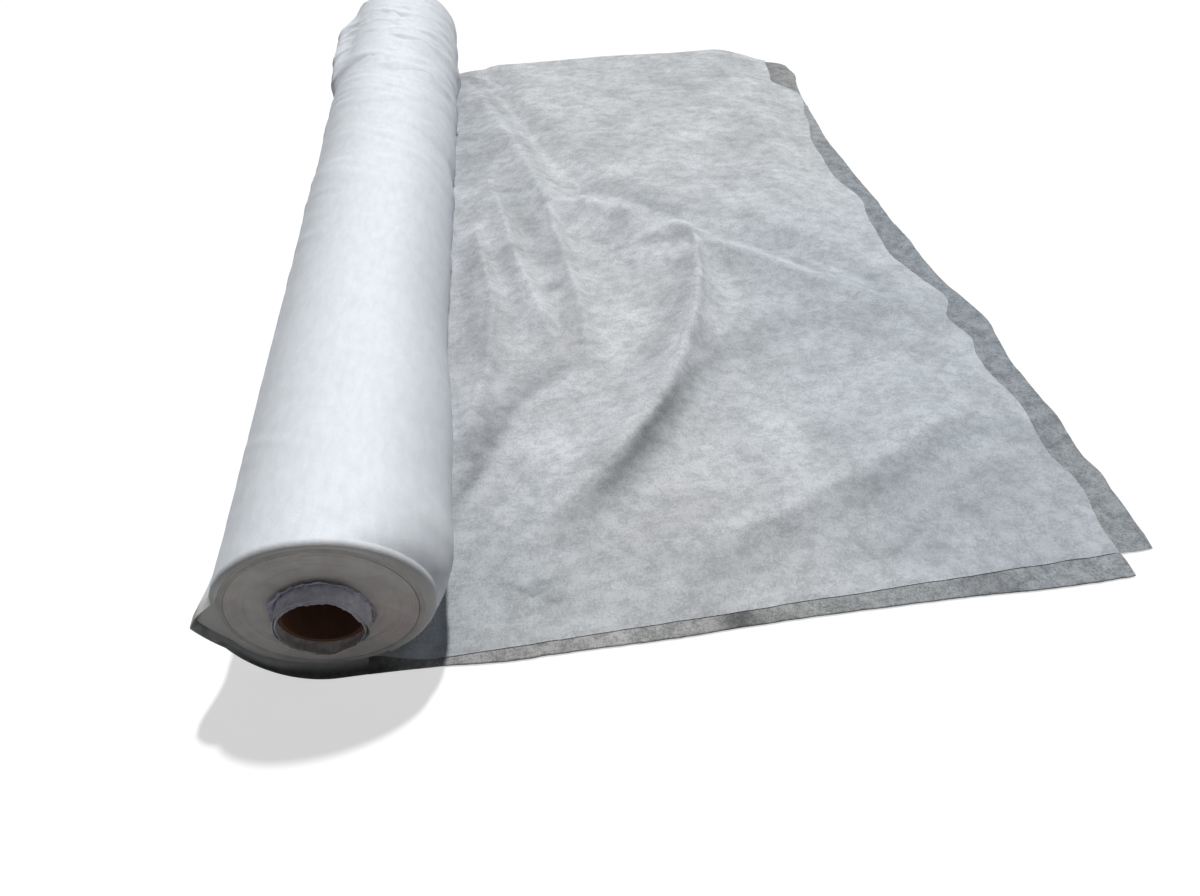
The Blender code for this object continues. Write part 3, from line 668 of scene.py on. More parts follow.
class Shader:
    """A material's node tree, with short calls for the nodes that the fleece needs."""

    def __init__(self, name, roughness):
        self.material = bpy.data.materials.new(name)
        self.material.use_nodes = True
        self.tree = self.material.node_tree
        self.principled = self.tree.nodes["Principled BSDF"]
        set_inputs(self.principled, Roughness=roughness)
        self.place = self.tree.nodes.new("ShaderNodeTexCoord").outputs["Object"]

    def link(self, value, socket):
        """Links an output to a socket, or sets the socket to a value."""
        if isinstance(value, bpy.types.NodeSocket):
            self.tree.links.new(value, socket)
        else:
            socket.default_value = value

    def noise(self, size, detail=3.0, roughness=0.6, stretch=(1.0, 1.0, 1.0), turn=0.0, warp=0.0):
        """Noise whose grains have this size, longer along an axis where its stretch is over 1."""
        mapping = self.tree.nodes.new("ShaderNodeMapping")
        self.link(self.place, mapping.inputs["Vector"])
        set_inputs(mapping, Rotation=(0.0, 0.0, turn), Scale=[1.0 / share for share in stretch])
        texture = self.tree.nodes.new("ShaderNodeTexNoise")
        self.link(mapping.outputs["Vector"], texture.inputs["Vector"])
        set_inputs(texture, Scale=1.0 / size, Detail=detail, Roughness=roughness, Distortion=warp)
        return texture.outputs["Fac"]

    def remap(self, value, old_range, new_range=(0.0, 1.0)):
        """A value's range moved to another."""
        node = self.tree.nodes.new("ShaderNodeMapRange")
        self.link(value, node.inputs["Value"])
        limits = zip(("From Min", "From Max", "To Min", "To Max"), (*old_range, *new_range), strict=True)
        set_inputs(node, **dict(limits))
        return node.outputs["Result"]

    def add(self, first, second):
        """The sum of two values."""
        node = self.tree.nodes.new("ShaderNodeMath")
        node.operation = "ADD"
        self.link(first, node.inputs[0])
        self.link(second, node.inputs[1])
        return node.outputs["Value"]

    def mix(self, share, first, second, kind="MIX"):
        """One colour mixed with another."""
        node = self.tree.nodes.new("ShaderNodeMix")
        node.data_type = "RGBA"
        node.blend_type = kind
        self.link(share, node.inputs["Factor"])
        self.link(first, node.inputs["A"])
        self.link(second, node.inputs["B"])
        return node.outputs["Result"]

    def tint(self):
        """The colour written on the mesh's points."""
        node = self.tree.nodes.new("ShaderNodeVertexColor")
        node.layer_name = "tint"
        return node.outputs["Color"]

    def finish(self, colour, height, depth, strength):
        """Sets the colour and the bump."""
        self.link(colour, self.principled.inputs["Base Color"])
        bump = self.tree.nodes.new("ShaderNodeBump")
        set_inputs(bump, Distance=depth, Strength=strength)
        self.link(height, bump.inputs["Height"])
        self.link(bump.outputs["Normal"], self.principled.inputs["Normal"])
        return self.material


def fleece(name, light, dark, cloud_size, cloud_range, grain_size, grain_share, streak):
    """Spun-bonded fleece: clouds where its fibres lie thick or thin, and a fine fibrous grain."""
    shader = Shader(name, roughness=0.92)
    clouds = shader.noise(cloud_size, detail=6.0, roughness=0.62, stretch=(streak, 1.0, 1.0), warp=0.3)
    fibres = shader.noise(grain_size, detail=4.0, roughness=0.7, stretch=(2.2, 1.0, 1.0), warp=1.2)
    cross = shader.noise(grain_size * 0.8, roughness=0.7, stretch=(1.0, 2.2, 1.0), turn=0.6, warp=1.2)
    grain = shader.add(fibres, cross)
    share = shader.remap(clouds, cloud_range)
    fine = shader.remap(grain, (0.7, 1.3), (-grain_share, grain_share))
    colour = shader.mix(shader.add(share, fine), (*dark, 1.0), (*light, 1.0))
    colour = shader.mix(1.0, colour, shader.tint(), "MULTIPLY")
    return shader.finish(colour, grain, depth=0.0006, strength=0.5)


def end_fleece(name):
    """The stacked edges of the tight turns, mottled where they are smeared together."""
    shader = Shader(name, roughness=0.95)
    blotches = shader.noise(0.024, detail=4.0, roughness=0.5, warp=0.6)
    fuzz = shader.noise(0.0012, roughness=0.7)
    share = shader.remap(blotches, (0.34, 0.68))
    fine = shader.remap(fuzz, (0.3, 0.7), (-0.12, 0.12))
    colour = shader.mix(shader.add(share, fine), END_DARK, END_LIGHT)
    colour = shader.mix(1.0, colour, shader.tint(), "MULTIPLY")
    return shader.finish(colour, fuzz, depth=0.0005, strength=0.6)


def cardboard(name):
    """Brown board, blotched, with fibres that run along the tube."""
    shader = Shader(name, roughness=0.8)
    fibres = shader.noise(0.004, detail=4.0, roughness=0.65, stretch=(1.0, 5.0, 1.0))
    spots = shader.noise(0.03, roughness=0.5)
    colour = shader.mix(fibres, BOARD_DARK, BOARD_LIGHT)
    colour = shader.mix(shader.remap(spots, (0.35, 0.65), (0.0, 0.5)), colour, BOARD_SPOTS)
    return shader.finish(colour, fibres, depth=0.0004, strength=0.5)


# Loose turn


def standoff(angle, along):
    """How far the loose turn stands off the tight roll."""
    belly = BELLY_ALONG + (BELLY_HEIGHT - BELLY_ALONG) * fade(along - NEAR, BELLY_FADE)
    return (
        curve_through(along, BULGE) * hump(angle - BULGE_ANGLE, BULGE_HALF_ANGLE)
        + curve_through(along, FLARE) * hump(angle - FLARE_ANGLE, FLARE_HALF_ANGLE)
        + belly * hump(angle - BELLY_ANGLE, BELLY_HALF_ANGLE)
    )


def ear(angle, along):
    """The outer plies' sharp corner, where their folded edge starts to stand out of the near end."""
    offset = np.clip(1.0 - np.abs(angle - EAR_ANGLE) / EAR_HALF_ANGLE, 0.0, 1.0)
    return EAR_HEIGHT * offset**EAR_SHARPNESS * fade(along - NEAR, EAR_FADE)


def creases(angle, along):
    """Fine creases of the outer plies, which run round the roll and tilt towards its far end."""
    round_way = angle * ROLL_RADIUS
    total = 0.0
    for turn, width, length, seed, strength in CREASE_LAYERS:
        run = round_way * math.cos(turn) + along * math.sin(turn)
        across = along * math.cos(turn) - round_way * math.sin(turn)
        total = total + strength * soft_noise(run * width / length, across, width, seed)
    patch = ease(layered_noise(round_way, along, CREASE_PATCH_SIZE, seed=31, layers=3) + 0.5)
    patches = CREASE_LEAST_SHARE + (1.0 - CREASE_LEAST_SHARE) * patch
    far = ramp(along, *CREASES_GROW)
    return total * patches * (CREASE_NEAR_SHARE + (1.0 - CREASE_NEAR_SHARE) * far)


def wrap_points(angle, along, over, depth, share, opens, ahead=0.0):
    """Points of the loose turn at a depth below its outside, turned in over the near end's rim.

    over is the share of the way past the start of that turn, share how much of the standoff the ply
    keeps, and ahead how far the fold between two plies reaches past them. opens is 1 for the plies
    whose edge stands out of the near end past the ear instead, as a flap.
    """
    along = along + 0.0 * angle
    flat_along = np.maximum(along, NEAR + RIM_RADIUS)
    stands = share * (standoff(angle, flat_along) + ear(angle, along))
    off = stands + CREASE_DEPTH * share**2 * creases(angle, along)
    above_dent = np.logaddexp(0.0, (off + DENT_LIMIT) / DENT_SOFTNESS) * DENT_SOFTNESS
    radius = ROLL_RADIUS + above_dent - DENT_LIMIT
    closed = 1.0 - opens * ramp(angle, CURL_FULL_ANGLE, CURL_NONE_ANGLE - CURL_FULL_ANGLE)
    closed = np.maximum(closed, LEAST_CURL)
    arc = RIM_RADIUS / closed
    full = RIM_RADIUS * math.pi / 2
    gap_to_close = stands * ease(closed * 2 - 1)
    way = over * (full + gap_to_close)
    turn = np.minimum(way, full) / arc
    straight = np.maximum(way - full, 0.0)
    out = opens * ramp(angle, FLAP_START_ANGLE, FLAP_FULL_ANGLE - FLAP_START_ANGLE)
    reach = (NEAR - FLAP_FRONT + RIM_RADIUS - full) * out
    inward = arc * (1.0 - np.cos(turn)) + straight
    radius = radius - inward - depth * np.cos(turn) - ahead * np.sin(turn)
    place = flat_along - arc * np.sin(turn) - reach * over
    place = place + depth * np.sin(turn) - ahead * np.cos(turn)
    points = on_roll(radius, angle, place)
    points[:, 2] = np.maximum(points[:, 2], depth)
    return points


def loose_rows(flat_rows, rim_rows):
    """Rows from the far end to the edge past the rim, each as (place along the roll, share over)."""
    start = NEAR + RIM_RADIUS
    flat = [(start + (FAR - start) * share, 0.0) for share in crowded(flat_rows)[::-1]]
    return flat + [(start, row / rim_rows) for row in range(1, rim_rows + 1)]


def crowded(count, strength=1.0):
    """Shares from 0 to 1, closer together at both ends."""
    share = np.linspace(0.0, 1.0, count)
    return share + strength * (ease(share) - share) * MOST_CROWDING


def loose_outer_plies(material):
    """The two outer plies of the loose turn, joined by the fold along their near edge."""
    angle = TUCK_ANGLE + (GROUND_ANGLE - TUCK_ANGLE) * np.linspace(0.0, 1.0, OUTER_COLUMNS)
    bend = PLY_PITCH / 2
    start = NEAR + RIM_RADIUS
    rows = [(*row, 0.0, 0.0) for row in loose_rows(OUTER_ROWS, RIM_ROWS)]
    for turn in np.linspace(0.0, math.pi, PLY_FOLD_ROWS)[1:-1]:
        rows.append((start, 1.0, bend * (1.0 - math.cos(turn)), bend * math.sin(turn)))
    rows += [(*row, PLY_PITCH, 0.0) for row in loose_rows(OUTER_BACK_ROWS, OUTER_BACK_RIM_ROWS)[::-1]]
    points = np.stack(
        [
            wrap_points(angle, along, over, depth, share=1.0, opens=1.0, ahead=ahead)
            for along, over, depth, ahead in rows
        ]
    )
    ground = np.repeat(points[:, -1:], len(ON_GROUND), axis=1)
    ground[:, :, 0] = np.array(ON_GROUND)
    points = np.concatenate([points, ground], axis=1)
    angles = np.append(angle, np.repeat(GROUND_ANGLE, len(ON_GROUND)))
    # Painted light and shade round the roll, over the colours of its near end
    painted_shading = curve_through(np.degrees(angles), TURN_PAINTED_SHADING)
    tints = near_end_tints(points, angles) * painted_shading[None, :, None]
    return thin_sheet("loose_turn_outer_plies", points, PLY, material, tints)


def near_end_tints(points, angle):
    """Painted shade of the loose turn: warm over the rim, dark and greenish at the ear and the flap."""
    along = points[:, :, 1]
    over = ramp(along, NEAR + RIM_SHADE_REACH, -RIM_SHADE_REACH)
    from_edge = along - along.min(axis=0, keepdims=True)
    width = FRINGE_WIDTH + FRINGE_GROWTH * ramp(angle, *FRINGE_GROWS)
    fringe = ease(FRINGE_SHARPNESS - from_edge / width) * ramp(angle, *FRINGE_STARTS)
    tip = ramp(ear(angle, NEAR) / EAR_HEIGHT, EAR_TIP_SHARE, EAR_TIP_SOFTNESS)
    tip = tip * ramp(along, NEAR + EAR_TIP_LENGTH, -EAR_TIP_FADE)
    out = np.maximum(fringe, tip)
    low = ramp(angle, *FRINGE_DARKENS)
    across = along + points[:, :, 2]
    spots = layered_noise(points[:, :, 0], across, FRINGE_MOTTLE_SIZE, seed=37, layers=3)
    dark = (FRINGE_TONE - FRINGE_LOW_SHADE * low[None, :]) * (1.0 + FRINGE_MOTTLE * spots)
    by_ear = ramp(angle, *EAR_WARMS) * ramp(along, NEAR + EAR_WARM_LENGTH, -EAR_WARM_LENGTH)
    over = np.maximum(over, EAR_WARM_SHARE * by_ear)
    # Painted shade: warm grey over the rim and by the ear, dark on the fringe of the ear and the flap
    tints = 1.0 + (np.array(RIM_SHADE_TINT) - 1.0) * over[:, :, None]
    return tints * (1.0 - out[:, :, None]) + np.array(FLAP_TINT) * (dark * out)[:, :, None]


def loose_inner_ply(name, depth, share, material):
    """One of the two inner plies of the loose turn, turned in over the near end's rim."""
    angle = TUCK_ANGLE + (GROUND_ANGLE - TUCK_ANGLE) * np.linspace(0.0, 1.0, INNER_COLUMNS)
    points = np.stack(
        [
            wrap_points(angle, along, over, depth, share, opens=0.0)
            for along, over in loose_rows(INNER_ROWS, RIM_ROWS)
        ]
    )
    points[:, :, 1] = np.minimum(points[:, :, 1], FAR - INNER_FAR_INSET)
    # Painted shade over the rim, warm grey, a little darker low down
    over = ease((NEAR + depth + RIM_SHADE_REACH - points[:, :, 1]) / RIM_SHADE_REACH)
    low = 1.0 - INNER_RIM_LOW_SHADE * (1.0 - np.sin(angle))
    tints = 1.0 + (np.array(RIM_SHADE_TINT) * low[:, None] - 1.0) * over[:, :, None]
    return thin_sheet(name, points, PLY, material, tints)


# Tight turns: how far each turn's edge stands out of the end by itself, in slow waves and in rings,
# how the near end is dished, the blush of its colour, and the painted shade round the collar's root

TURN_EDGE = 0.00028
TURN_EDGE_STEP = 0.7315
SLOW_EDGE = 0.00035
SLOW_EDGE_STEP = 0.31
RING_EDGE = 0.0006
RING_TURNS = 9.0
UPPER_EDGE_SHARE = 0.45
LOW_EDGE_HALF_ANGLE = math.radians(120)
COLLAR_ROOM = 0.0028
DISH_DEPTH = 0.0016
DISH_RADIUS = 0.064
DISH_HALF_WIDTH = 0.026
END_COLUMNS = 300
NEAR_END_ROWS = 230
FAR_END_ROWS = 150
FAR_END_INSET = 0.0006
BETWEEN_SHARES = (0.1, 0.5, 0.9)
BLUSH_PLACE = (0.055, -0.035)
BLUSH_SIZE = 0.035
BLUSH_LOSSES = (0.07, 0.06)
WARM_LOSSES = (0.02, 0.03)
WARM_SPOT_SIZE = 0.02
DARK_RING_RADIUS = 0.047
DARK_RING_WIDTH = 0.006
DARK_RING_LOSS = 0.12

# Outer turns: columns for each turn, how far the last one falls short, and how their edges wander

SPIRAL_COLUMNS = 130
SPIRAL_SHORT = 0.35
UNDER_RIM_GAP = 0.0007
UNDER_RIM_SOFTNESS = 0.0004
EDGE_WANDER = 0.0004
FAR_WANDER = 0.0009
FAR_SHOULDER = 0.0024
FAR_SHOULDER_DEPTH = 0.006
SPIRAL_RUCK = 0.00010
SPIRAL_RUCK_SIZE = 0.012
SPIRAL_SHARES = (0.0, 0.0015, 0.004, 0.01, 0.03, 0.15, 0.5, 0.85, 0.97, 0.99, 1.0)


def end_relief(radius, angle, seed):
    """How far each turn's edge stands out of the end face: turn by turn, wandering round the roll."""
    turn = (WOUND_RADIUS - radius) / TURN_PITCH + angle / (2 * math.pi)
    number = np.floor(turn)
    own = soft_noise(number * TURN_EDGE_STEP, 0.0 * angle, size=0.5, seed=seed)
    slow = soft_noise(number * SLOW_EDGE_STEP, angle * 0.9, size=1.0, seed=seed + 3)
    ring = soft_noise(turn / RING_TURNS, angle * 0.6, size=1.0, seed=seed + 5)
    low = hump(angle + math.pi / 2, LOW_EDGE_HALF_ANGLE)
    low = UPPER_EDGE_SHARE + (1.0 - UPPER_EDGE_SHARE) * low
    return (TURN_EDGE * own + SLOW_EDGE * slow) * low + RING_EDGE * ring


def angles_round(columns):
    """Angles of a full turn, centred on the bottom of the roll so that its seam is at the top."""
    return -math.pi / 2 - math.pi + 2 * math.pi * np.arange(columns) / columns


def wound_turns(material):
    """The tight turns as one ring, with every turn's edge in its end faces."""
    angle = angles_round(END_COLUMNS)
    level = 0.0 * angle
    bore = CORE_RADIUS + COLLAR_ROOM
    rows = []
    for radius in np.linspace(bore, WOUND_RADIUS, NEAR_END_ROWS):
        dish = DISH_DEPTH * hump((radius - DISH_RADIUS) / DISH_HALF_WIDTH, 1.0)
        rows.append((radius + level, NEAR - end_relief(radius, angle, seed=41) + dish))
    for share in BETWEEN_SHARES:
        rows.append((WOUND_RADIUS + level, NEAR + WEB_WIDTH * share + level))
    for radius in np.linspace(WOUND_RADIUS, bore, FAR_END_ROWS):
        rows.append((radius + level, FAR + end_relief(radius, angle, seed=61) - FAR_END_INSET))
    for share in BETWEEN_SHARES[::-1]:
        rows.append((bore + level, NEAR + WEB_WIDTH * share + level))
    points = np.stack([on_roll(radius, angle, along) for radius, along in rows])
    faces = grid_faces(len(rows), END_COLUMNS, wrap_rows=True, wrap_columns=True)
    tints = end_tints(points)
    return mesh_object("wound_turns", points.reshape(-1, 3), faces, material, tints)


def end_tints(points):
    """Colour of the end face: pinkish low on the right, with painted shade round the collar's root."""
    x = points[:, :, 0].ravel()
    z = points[:, :, 2].ravel() - AXIS_HEIGHT
    radius = np.hypot(x, z)
    blush = fade(x - BLUSH_PLACE[0], BLUSH_SIZE) * fade(z - BLUSH_PLACE[1], BLUSH_SIZE)
    warm = 0.5 + 0.5 * soft_noise(x, z, WARM_SPOT_SIZE, seed=71)
    tints = np.ones((len(x), 3))
    # Painted shade in a ring round the collar's root
    tints *= (1.0 - DARK_RING_LOSS * fade(radius - DARK_RING_RADIUS, DARK_RING_WIDTH))[:, None]
    for channel, blush_loss, warm_loss in zip((1, 2), BLUSH_LOSSES, WARM_LOSSES, strict=True):
        tints[:, channel] *= 1.0 - blush_loss * blush - warm_loss * warm
    return tints


def outer_spiral(material):
    """The outermost tight turns as one unbroken spiral band."""
    turns = (TURN_TOP_RADIUS - WOUND_RADIUS) / TURN_PITCH
    progress = np.linspace(0.0, turns - SPIRAL_SHORT, int(turns * SPIRAL_COLUMNS))
    angle = TUCK_ANGLE - progress * 2 * math.pi
    radius = TURN_TOP_RADIUS - TURN_PITCH * progress
    inside_rim = ROLL_RADIUS - RIM_RADIUS - UNDER_RIM_GAP
    under_rim = RIM_RADIUS * ease((radius - inside_rim) / UNDER_RIM_SOFTNESS)
    wander = EDGE_WANDER * soft_noise(progress * 0.8, 0.0 * progress, size=0.11, seed=83)
    near_edge = NEAR + under_rim + wander
    far_shoulder = FAR_SHOULDER * ease(1.0 - TURN_PITCH * progress / FAR_SHOULDER_DEPTH)
    far_wander = FAR_WANDER * soft_noise(progress, 0.0 * progress, size=0.13, seed=89)
    far_edge = FAR - far_shoulder + far_wander
    rows = []
    for share in SPIRAL_SHARES:
        along = near_edge + (far_edge - near_edge) * share
        ruck = radius + SPIRAL_RUCK * soft_noise(angle * 0.1, along, SPIRAL_RUCK_SIZE, seed=97)
        rows.append(on_roll(ruck, angle, along))
    return thin_sheet("outer_turns_spiral", np.stack(rows)[:, ::-1], TURN_PLY, material)


# Collar: each layer with its profile as (radius, reach out of the near end), how far it is crumpled,
# how ragged its edge is, its waves round the roll, its random seed and its tone

COLLAR_LAYERS = (
    (
        "collar_ruffle",
        ((0.0446, -0.002), (0.0468, 0.0022), (0.0505, 0.0040)),
        (0.0013, 0.0030, 3.2, 191),
        (0.90, 0.87, 0.95),
    ),
    (
        "collar_tube",
        ((0.0448, -0.002), (0.0452, 0.006), (0.0448, 0.0195)),
        (0.0011, 0.0016, 2.6, 201),
        (1.06, 1.06, 1.08),
    ),
    (
        "collar_lip",
        ((0.0424, -0.002), (0.0428, 0.012), (0.0414, 0.0208)),
        (0.0010, 0.0014, 2.2, 211),
        (1.16, 1.15, 1.14),
    ),
)
COLLAR_COLUMNS = 260
COLLAR_ROWS = 46
COLLAR_PLY = 0.0005
SMALL_CRUMPLES = 0.75
EDGE_WAVE = 0.0012

# Collar's mouth: its spout low down and its pinched right side

SPOUT = 0.0036
SPOUT_ANGLE = math.radians(-96)
SPOUT_HALF_ANGLE = math.radians(30)
PINCH = 0.0052
PINCH_ANGLE = math.radians(16)
PINCH_HALF_ANGLE = math.radians(48)

# Collar's colour: how light it is low down and how much lighter its top is painted, as painted
# light, how much darker its scalloped root is painted, as painted shade, how smudged, and the tint of
# its low part

LOW_TONE = 0.88
COLLAR_TOP_PAINTED_LIGHT = 0.42
COLLAR_ROOT_PAINTED_SHADE = 0.36
ROOT_END = 0.50
ROOT_SCALLOPS = 0.22
SMUDGES = 0.14
SMUDGE_SIZE = 0.35
LOW_TINT = (0.06, 0.02, -0.10)


def collar_layer(name, profile, crumple, rag, waves, seed, material, tone):
    """One crumpled layer of the first turns, standing out of the near end."""
    angle = angles_round(COLLAR_COLUMNS)
    spot = np.linspace(0.0, len(profile) - 1.0, COLLAR_ROWS)
    radii, reaches = (
        np.interp(spot, np.arange(len(part)), part) for part in zip(*profile, strict=True)
    )
    cx = np.cos(angle)
    cy = np.sin(angle)
    u = (cx + 2) * waves
    v = (cy + 2) * waves
    ragged = layered_noise(u * 4, v * 4, size=1.0, seed=seed + 13)
    mouth = SPOUT * hump(angle - SPOUT_ANGLE, SPOUT_HALF_ANGLE)
    mouth = mouth - PINCH * hump(angle - PINCH_ANGLE, PINCH_HALF_ANGLE)
    points = np.zeros((COLLAR_ROWS, COLLAR_COLUMNS, 3))
    for row in range(COLLAR_ROWS):
        out = row / (COLLAR_ROWS - 1)
        ring = layered_noise(u, v + out * 0.9, size=1.0, seed=seed)
        small = layered_noise(u * 3, v * 3 + out * 4, size=1.0, seed=seed + 7, layers=3)
        radius = radii[row] + crumple * (ring + SMALL_CRUMPLES * small) * ease(out * 1.5)
        radius = radius + mouth * ease(out)
        reach = reaches[row] + rag * ragged * out + EDGE_WAVE * ring * out
        points[row] = on_roll(radius, angle, NEAR - reach)
    out = np.linspace(0.0, 1.0, COLLAR_ROWS)[:, None]
    top = 0.5 + 0.5 * cy[None, :]
    root = 1.0 - ease((out + ROOT_SCALLOPS * ragged[None, :]) / ROOT_END)
    noise = layered_noise(angle[None, :] * 1.3, out * 1.2, SMUDGE_SIZE, seed + 17, layers=3)
    smudges = 1.0 + SMUDGES * noise
    # Painted light at the collar's top and painted shade at its scalloped root
    lightness = LOW_TONE + COLLAR_TOP_PAINTED_LIGHT * ease(top * 1.3 - 0.3)
    lightness = lightness * (1.0 - COLLAR_ROOT_PAINTED_SHADE * root * ease(top * 2)) * smudges
    low = (1.0 - ease(top * 1.6)) * np.array(LOW_TINT)[:, None, None]
    tints = np.stack([lightness * (1.0 + part) for part in low], axis=-1)
    return thin_sheet(name, points, COLLAR_PLY, material, tints * np.asarray(tone), wrap_columns=True)


# Laid web


def distance_to_line(x, y, line):
    """Signed distance to a line of places, positive on its left, with the nearest place's height."""
    best = np.full(x.shape, np.inf)
    side = np.ones(x.shape)
    value = np.zeros(x.shape)
    for start, end in zip(line[:-1], line[1:], strict=True):
        run = np.array(end[:2]) - np.array(start[:2])
        length = np.hypot(*run)
        dx = x - start[0]
        dy = y - start[1]
        share = np.clip((dx * run[0] + dy * run[1]) / length**2, 0.0, 1.0)
        gap = np.hypot(dx - share * run[0], dy - share * run[1])
        closer = gap < best
        best = np.where(closer, gap, best)
        side = np.where(closer, np.sign(run[0] * dy - run[1] * dx), side)
        if len(start) > 2:
            value = np.where(closer, start[2] + (end[2] - start[2]) * share, value)
    return best * side, value


def rounded_line(line):
    """A line with its corners cut off twice, so that it curves."""
    points = np.array(line)
    for _ in range(2):
        first = points[:-1] * 0.75 + points[1:] * 0.25
        second = points[:-1] * 0.25 + points[1:] * 0.75
        middle = np.empty((2 * len(first), points.shape[1]))
        middle[0::2] = first
        middle[1::2] = second
        points = np.concatenate([points[:1], middle, points[-1:]])
    return points


def web_height(x, y):
    """Height of the laid web's folds over the flat."""
    bend_x = x + FOLD_WAVER * soft_noise(x, y, FOLD_WAVER_SIZE, seed=101)
    bend_y = y + FOLD_WAVER * soft_noise(x, y, FOLD_WAVER_SIZE, seed=103)
    gap, _ = distance_to_line(bend_x, bend_y, rounded_line(BAND_TROUGH))
    total = PILLOW_HEIGHT * ease(gap / PILLOW_RISE)
    for line, left, right, crest, _ in RIDGES:
        gap, height = distance_to_line(bend_x, bend_y, rounded_line(line))
        width = np.where(gap > 0, left, right)
        side = FOLD_GAIN * height * np.exp(-(np.sqrt(gap**2 + crest**2) - crest) / width)
        total = np.maximum(total, side) + FOLD_SPILL * np.minimum(total, side)
    crumple = 0.0
    for at_x, at_y, half_x, half_y, height in LUMPS:
        spot = np.exp(-(((bend_x - at_x) / half_x) ** 2) - ((bend_y - at_y) / half_y) ** 2)
        total = total + height * spot
        crumple = np.maximum(crumple, spot)
    noise = layered_noise(x, y, LUMP_CRUMPLE_SIZE, seed=105, layers=3)
    total = total + LUMP_CRUMPLE * crumple * noise
    run = np.clip(x / LAID_LENGTH, 0.0, 1.0)
    puff = EDGE_PUFF_HEIGHT * np.sin(math.pi * run) * fade(y - FAR, EDGE_PUFF_HALF_WIDTH)
    total = np.maximum(total, puff)
    streaks = 0.0
    for stretch, lean, size, seed, strength in STREAK_LAYERS:
        streaks = streaks + strength * soft_noise(x / stretch, y + lean * x, size, seed)
    total = total + STREAK_HEIGHT * streaks * ramp(y, *STREAKS_RISE)
    crumples = CRUMPLE_HEIGHT + CRUMPLE_HEIGHT * ramp(x, *CRUMPLES_DOUBLE)
    total = total + crumples * layered_noise(x, y, CRUMPLE_SIZE, seed=113)
    clear_of_roll = ramp(x, FLAT_BY_ROLL, RISE_FROM_ROLL)
    clear_of_edge = ramp(y, NEAR, FLAT_BY_EDGE)
    clear_of_cut = ease((curve_through(y, TOP_CUT) - x) / FLAT_BY_CUT)
    return np.maximum(total, 0.0) * clear_of_roll * clear_of_edge * clear_of_cut


def near_edge_of_leaf(x):
    """The leaves' near edge, which draws back under the roll and towards the cut end."""
    under_roll = 1.0 - ramp(x, LAID_START, LEAF_EMERGES)
    drawn = LEAF_NEAR_INSET * 2 * x / LAID_LENGTH
    return NEAR - LEAF_NEAR_SPREAD + (drawn + (LEAF_NEAR_SPREAD + LEAF_NEAR_INSET / 3) * under_roll)


def far_edge_of_leaf(x):
    """The leaves' far edge: a fold that puffs out in the middle, cut back at the far corner."""
    return curve_through(x, FAR_EDGE)


def leaf_places(columns, rows, cut, seed):
    """Places of a leaf's grid, slightly ragged at its cut end; the rows lie closer in the near part."""
    share = np.linspace(0.0, 1.0, rows)[:, None]
    share = share + ROW_CROWDING * (share**2 - share)
    run = crowded(columns, COLUMN_CROWDING)[None, :]
    y_guess = NEAR + WEB_WIDTH * share
    ragged = CUT_RAG * layered_noise(y_guess, 0.0 * y_guess, RAG_SIZE, seed)
    last = curve_through(y_guess, cut) + ragged
    x = LAID_START + (last - LAID_START) * run
    near = near_edge_of_leaf(x) + EDGE_RAG * layered_noise(x, 0.0 * x, RAG_SIZE, seed + 9, layers=3)
    far = far_edge_of_leaf(x)
    return x, near + (far - near) * share


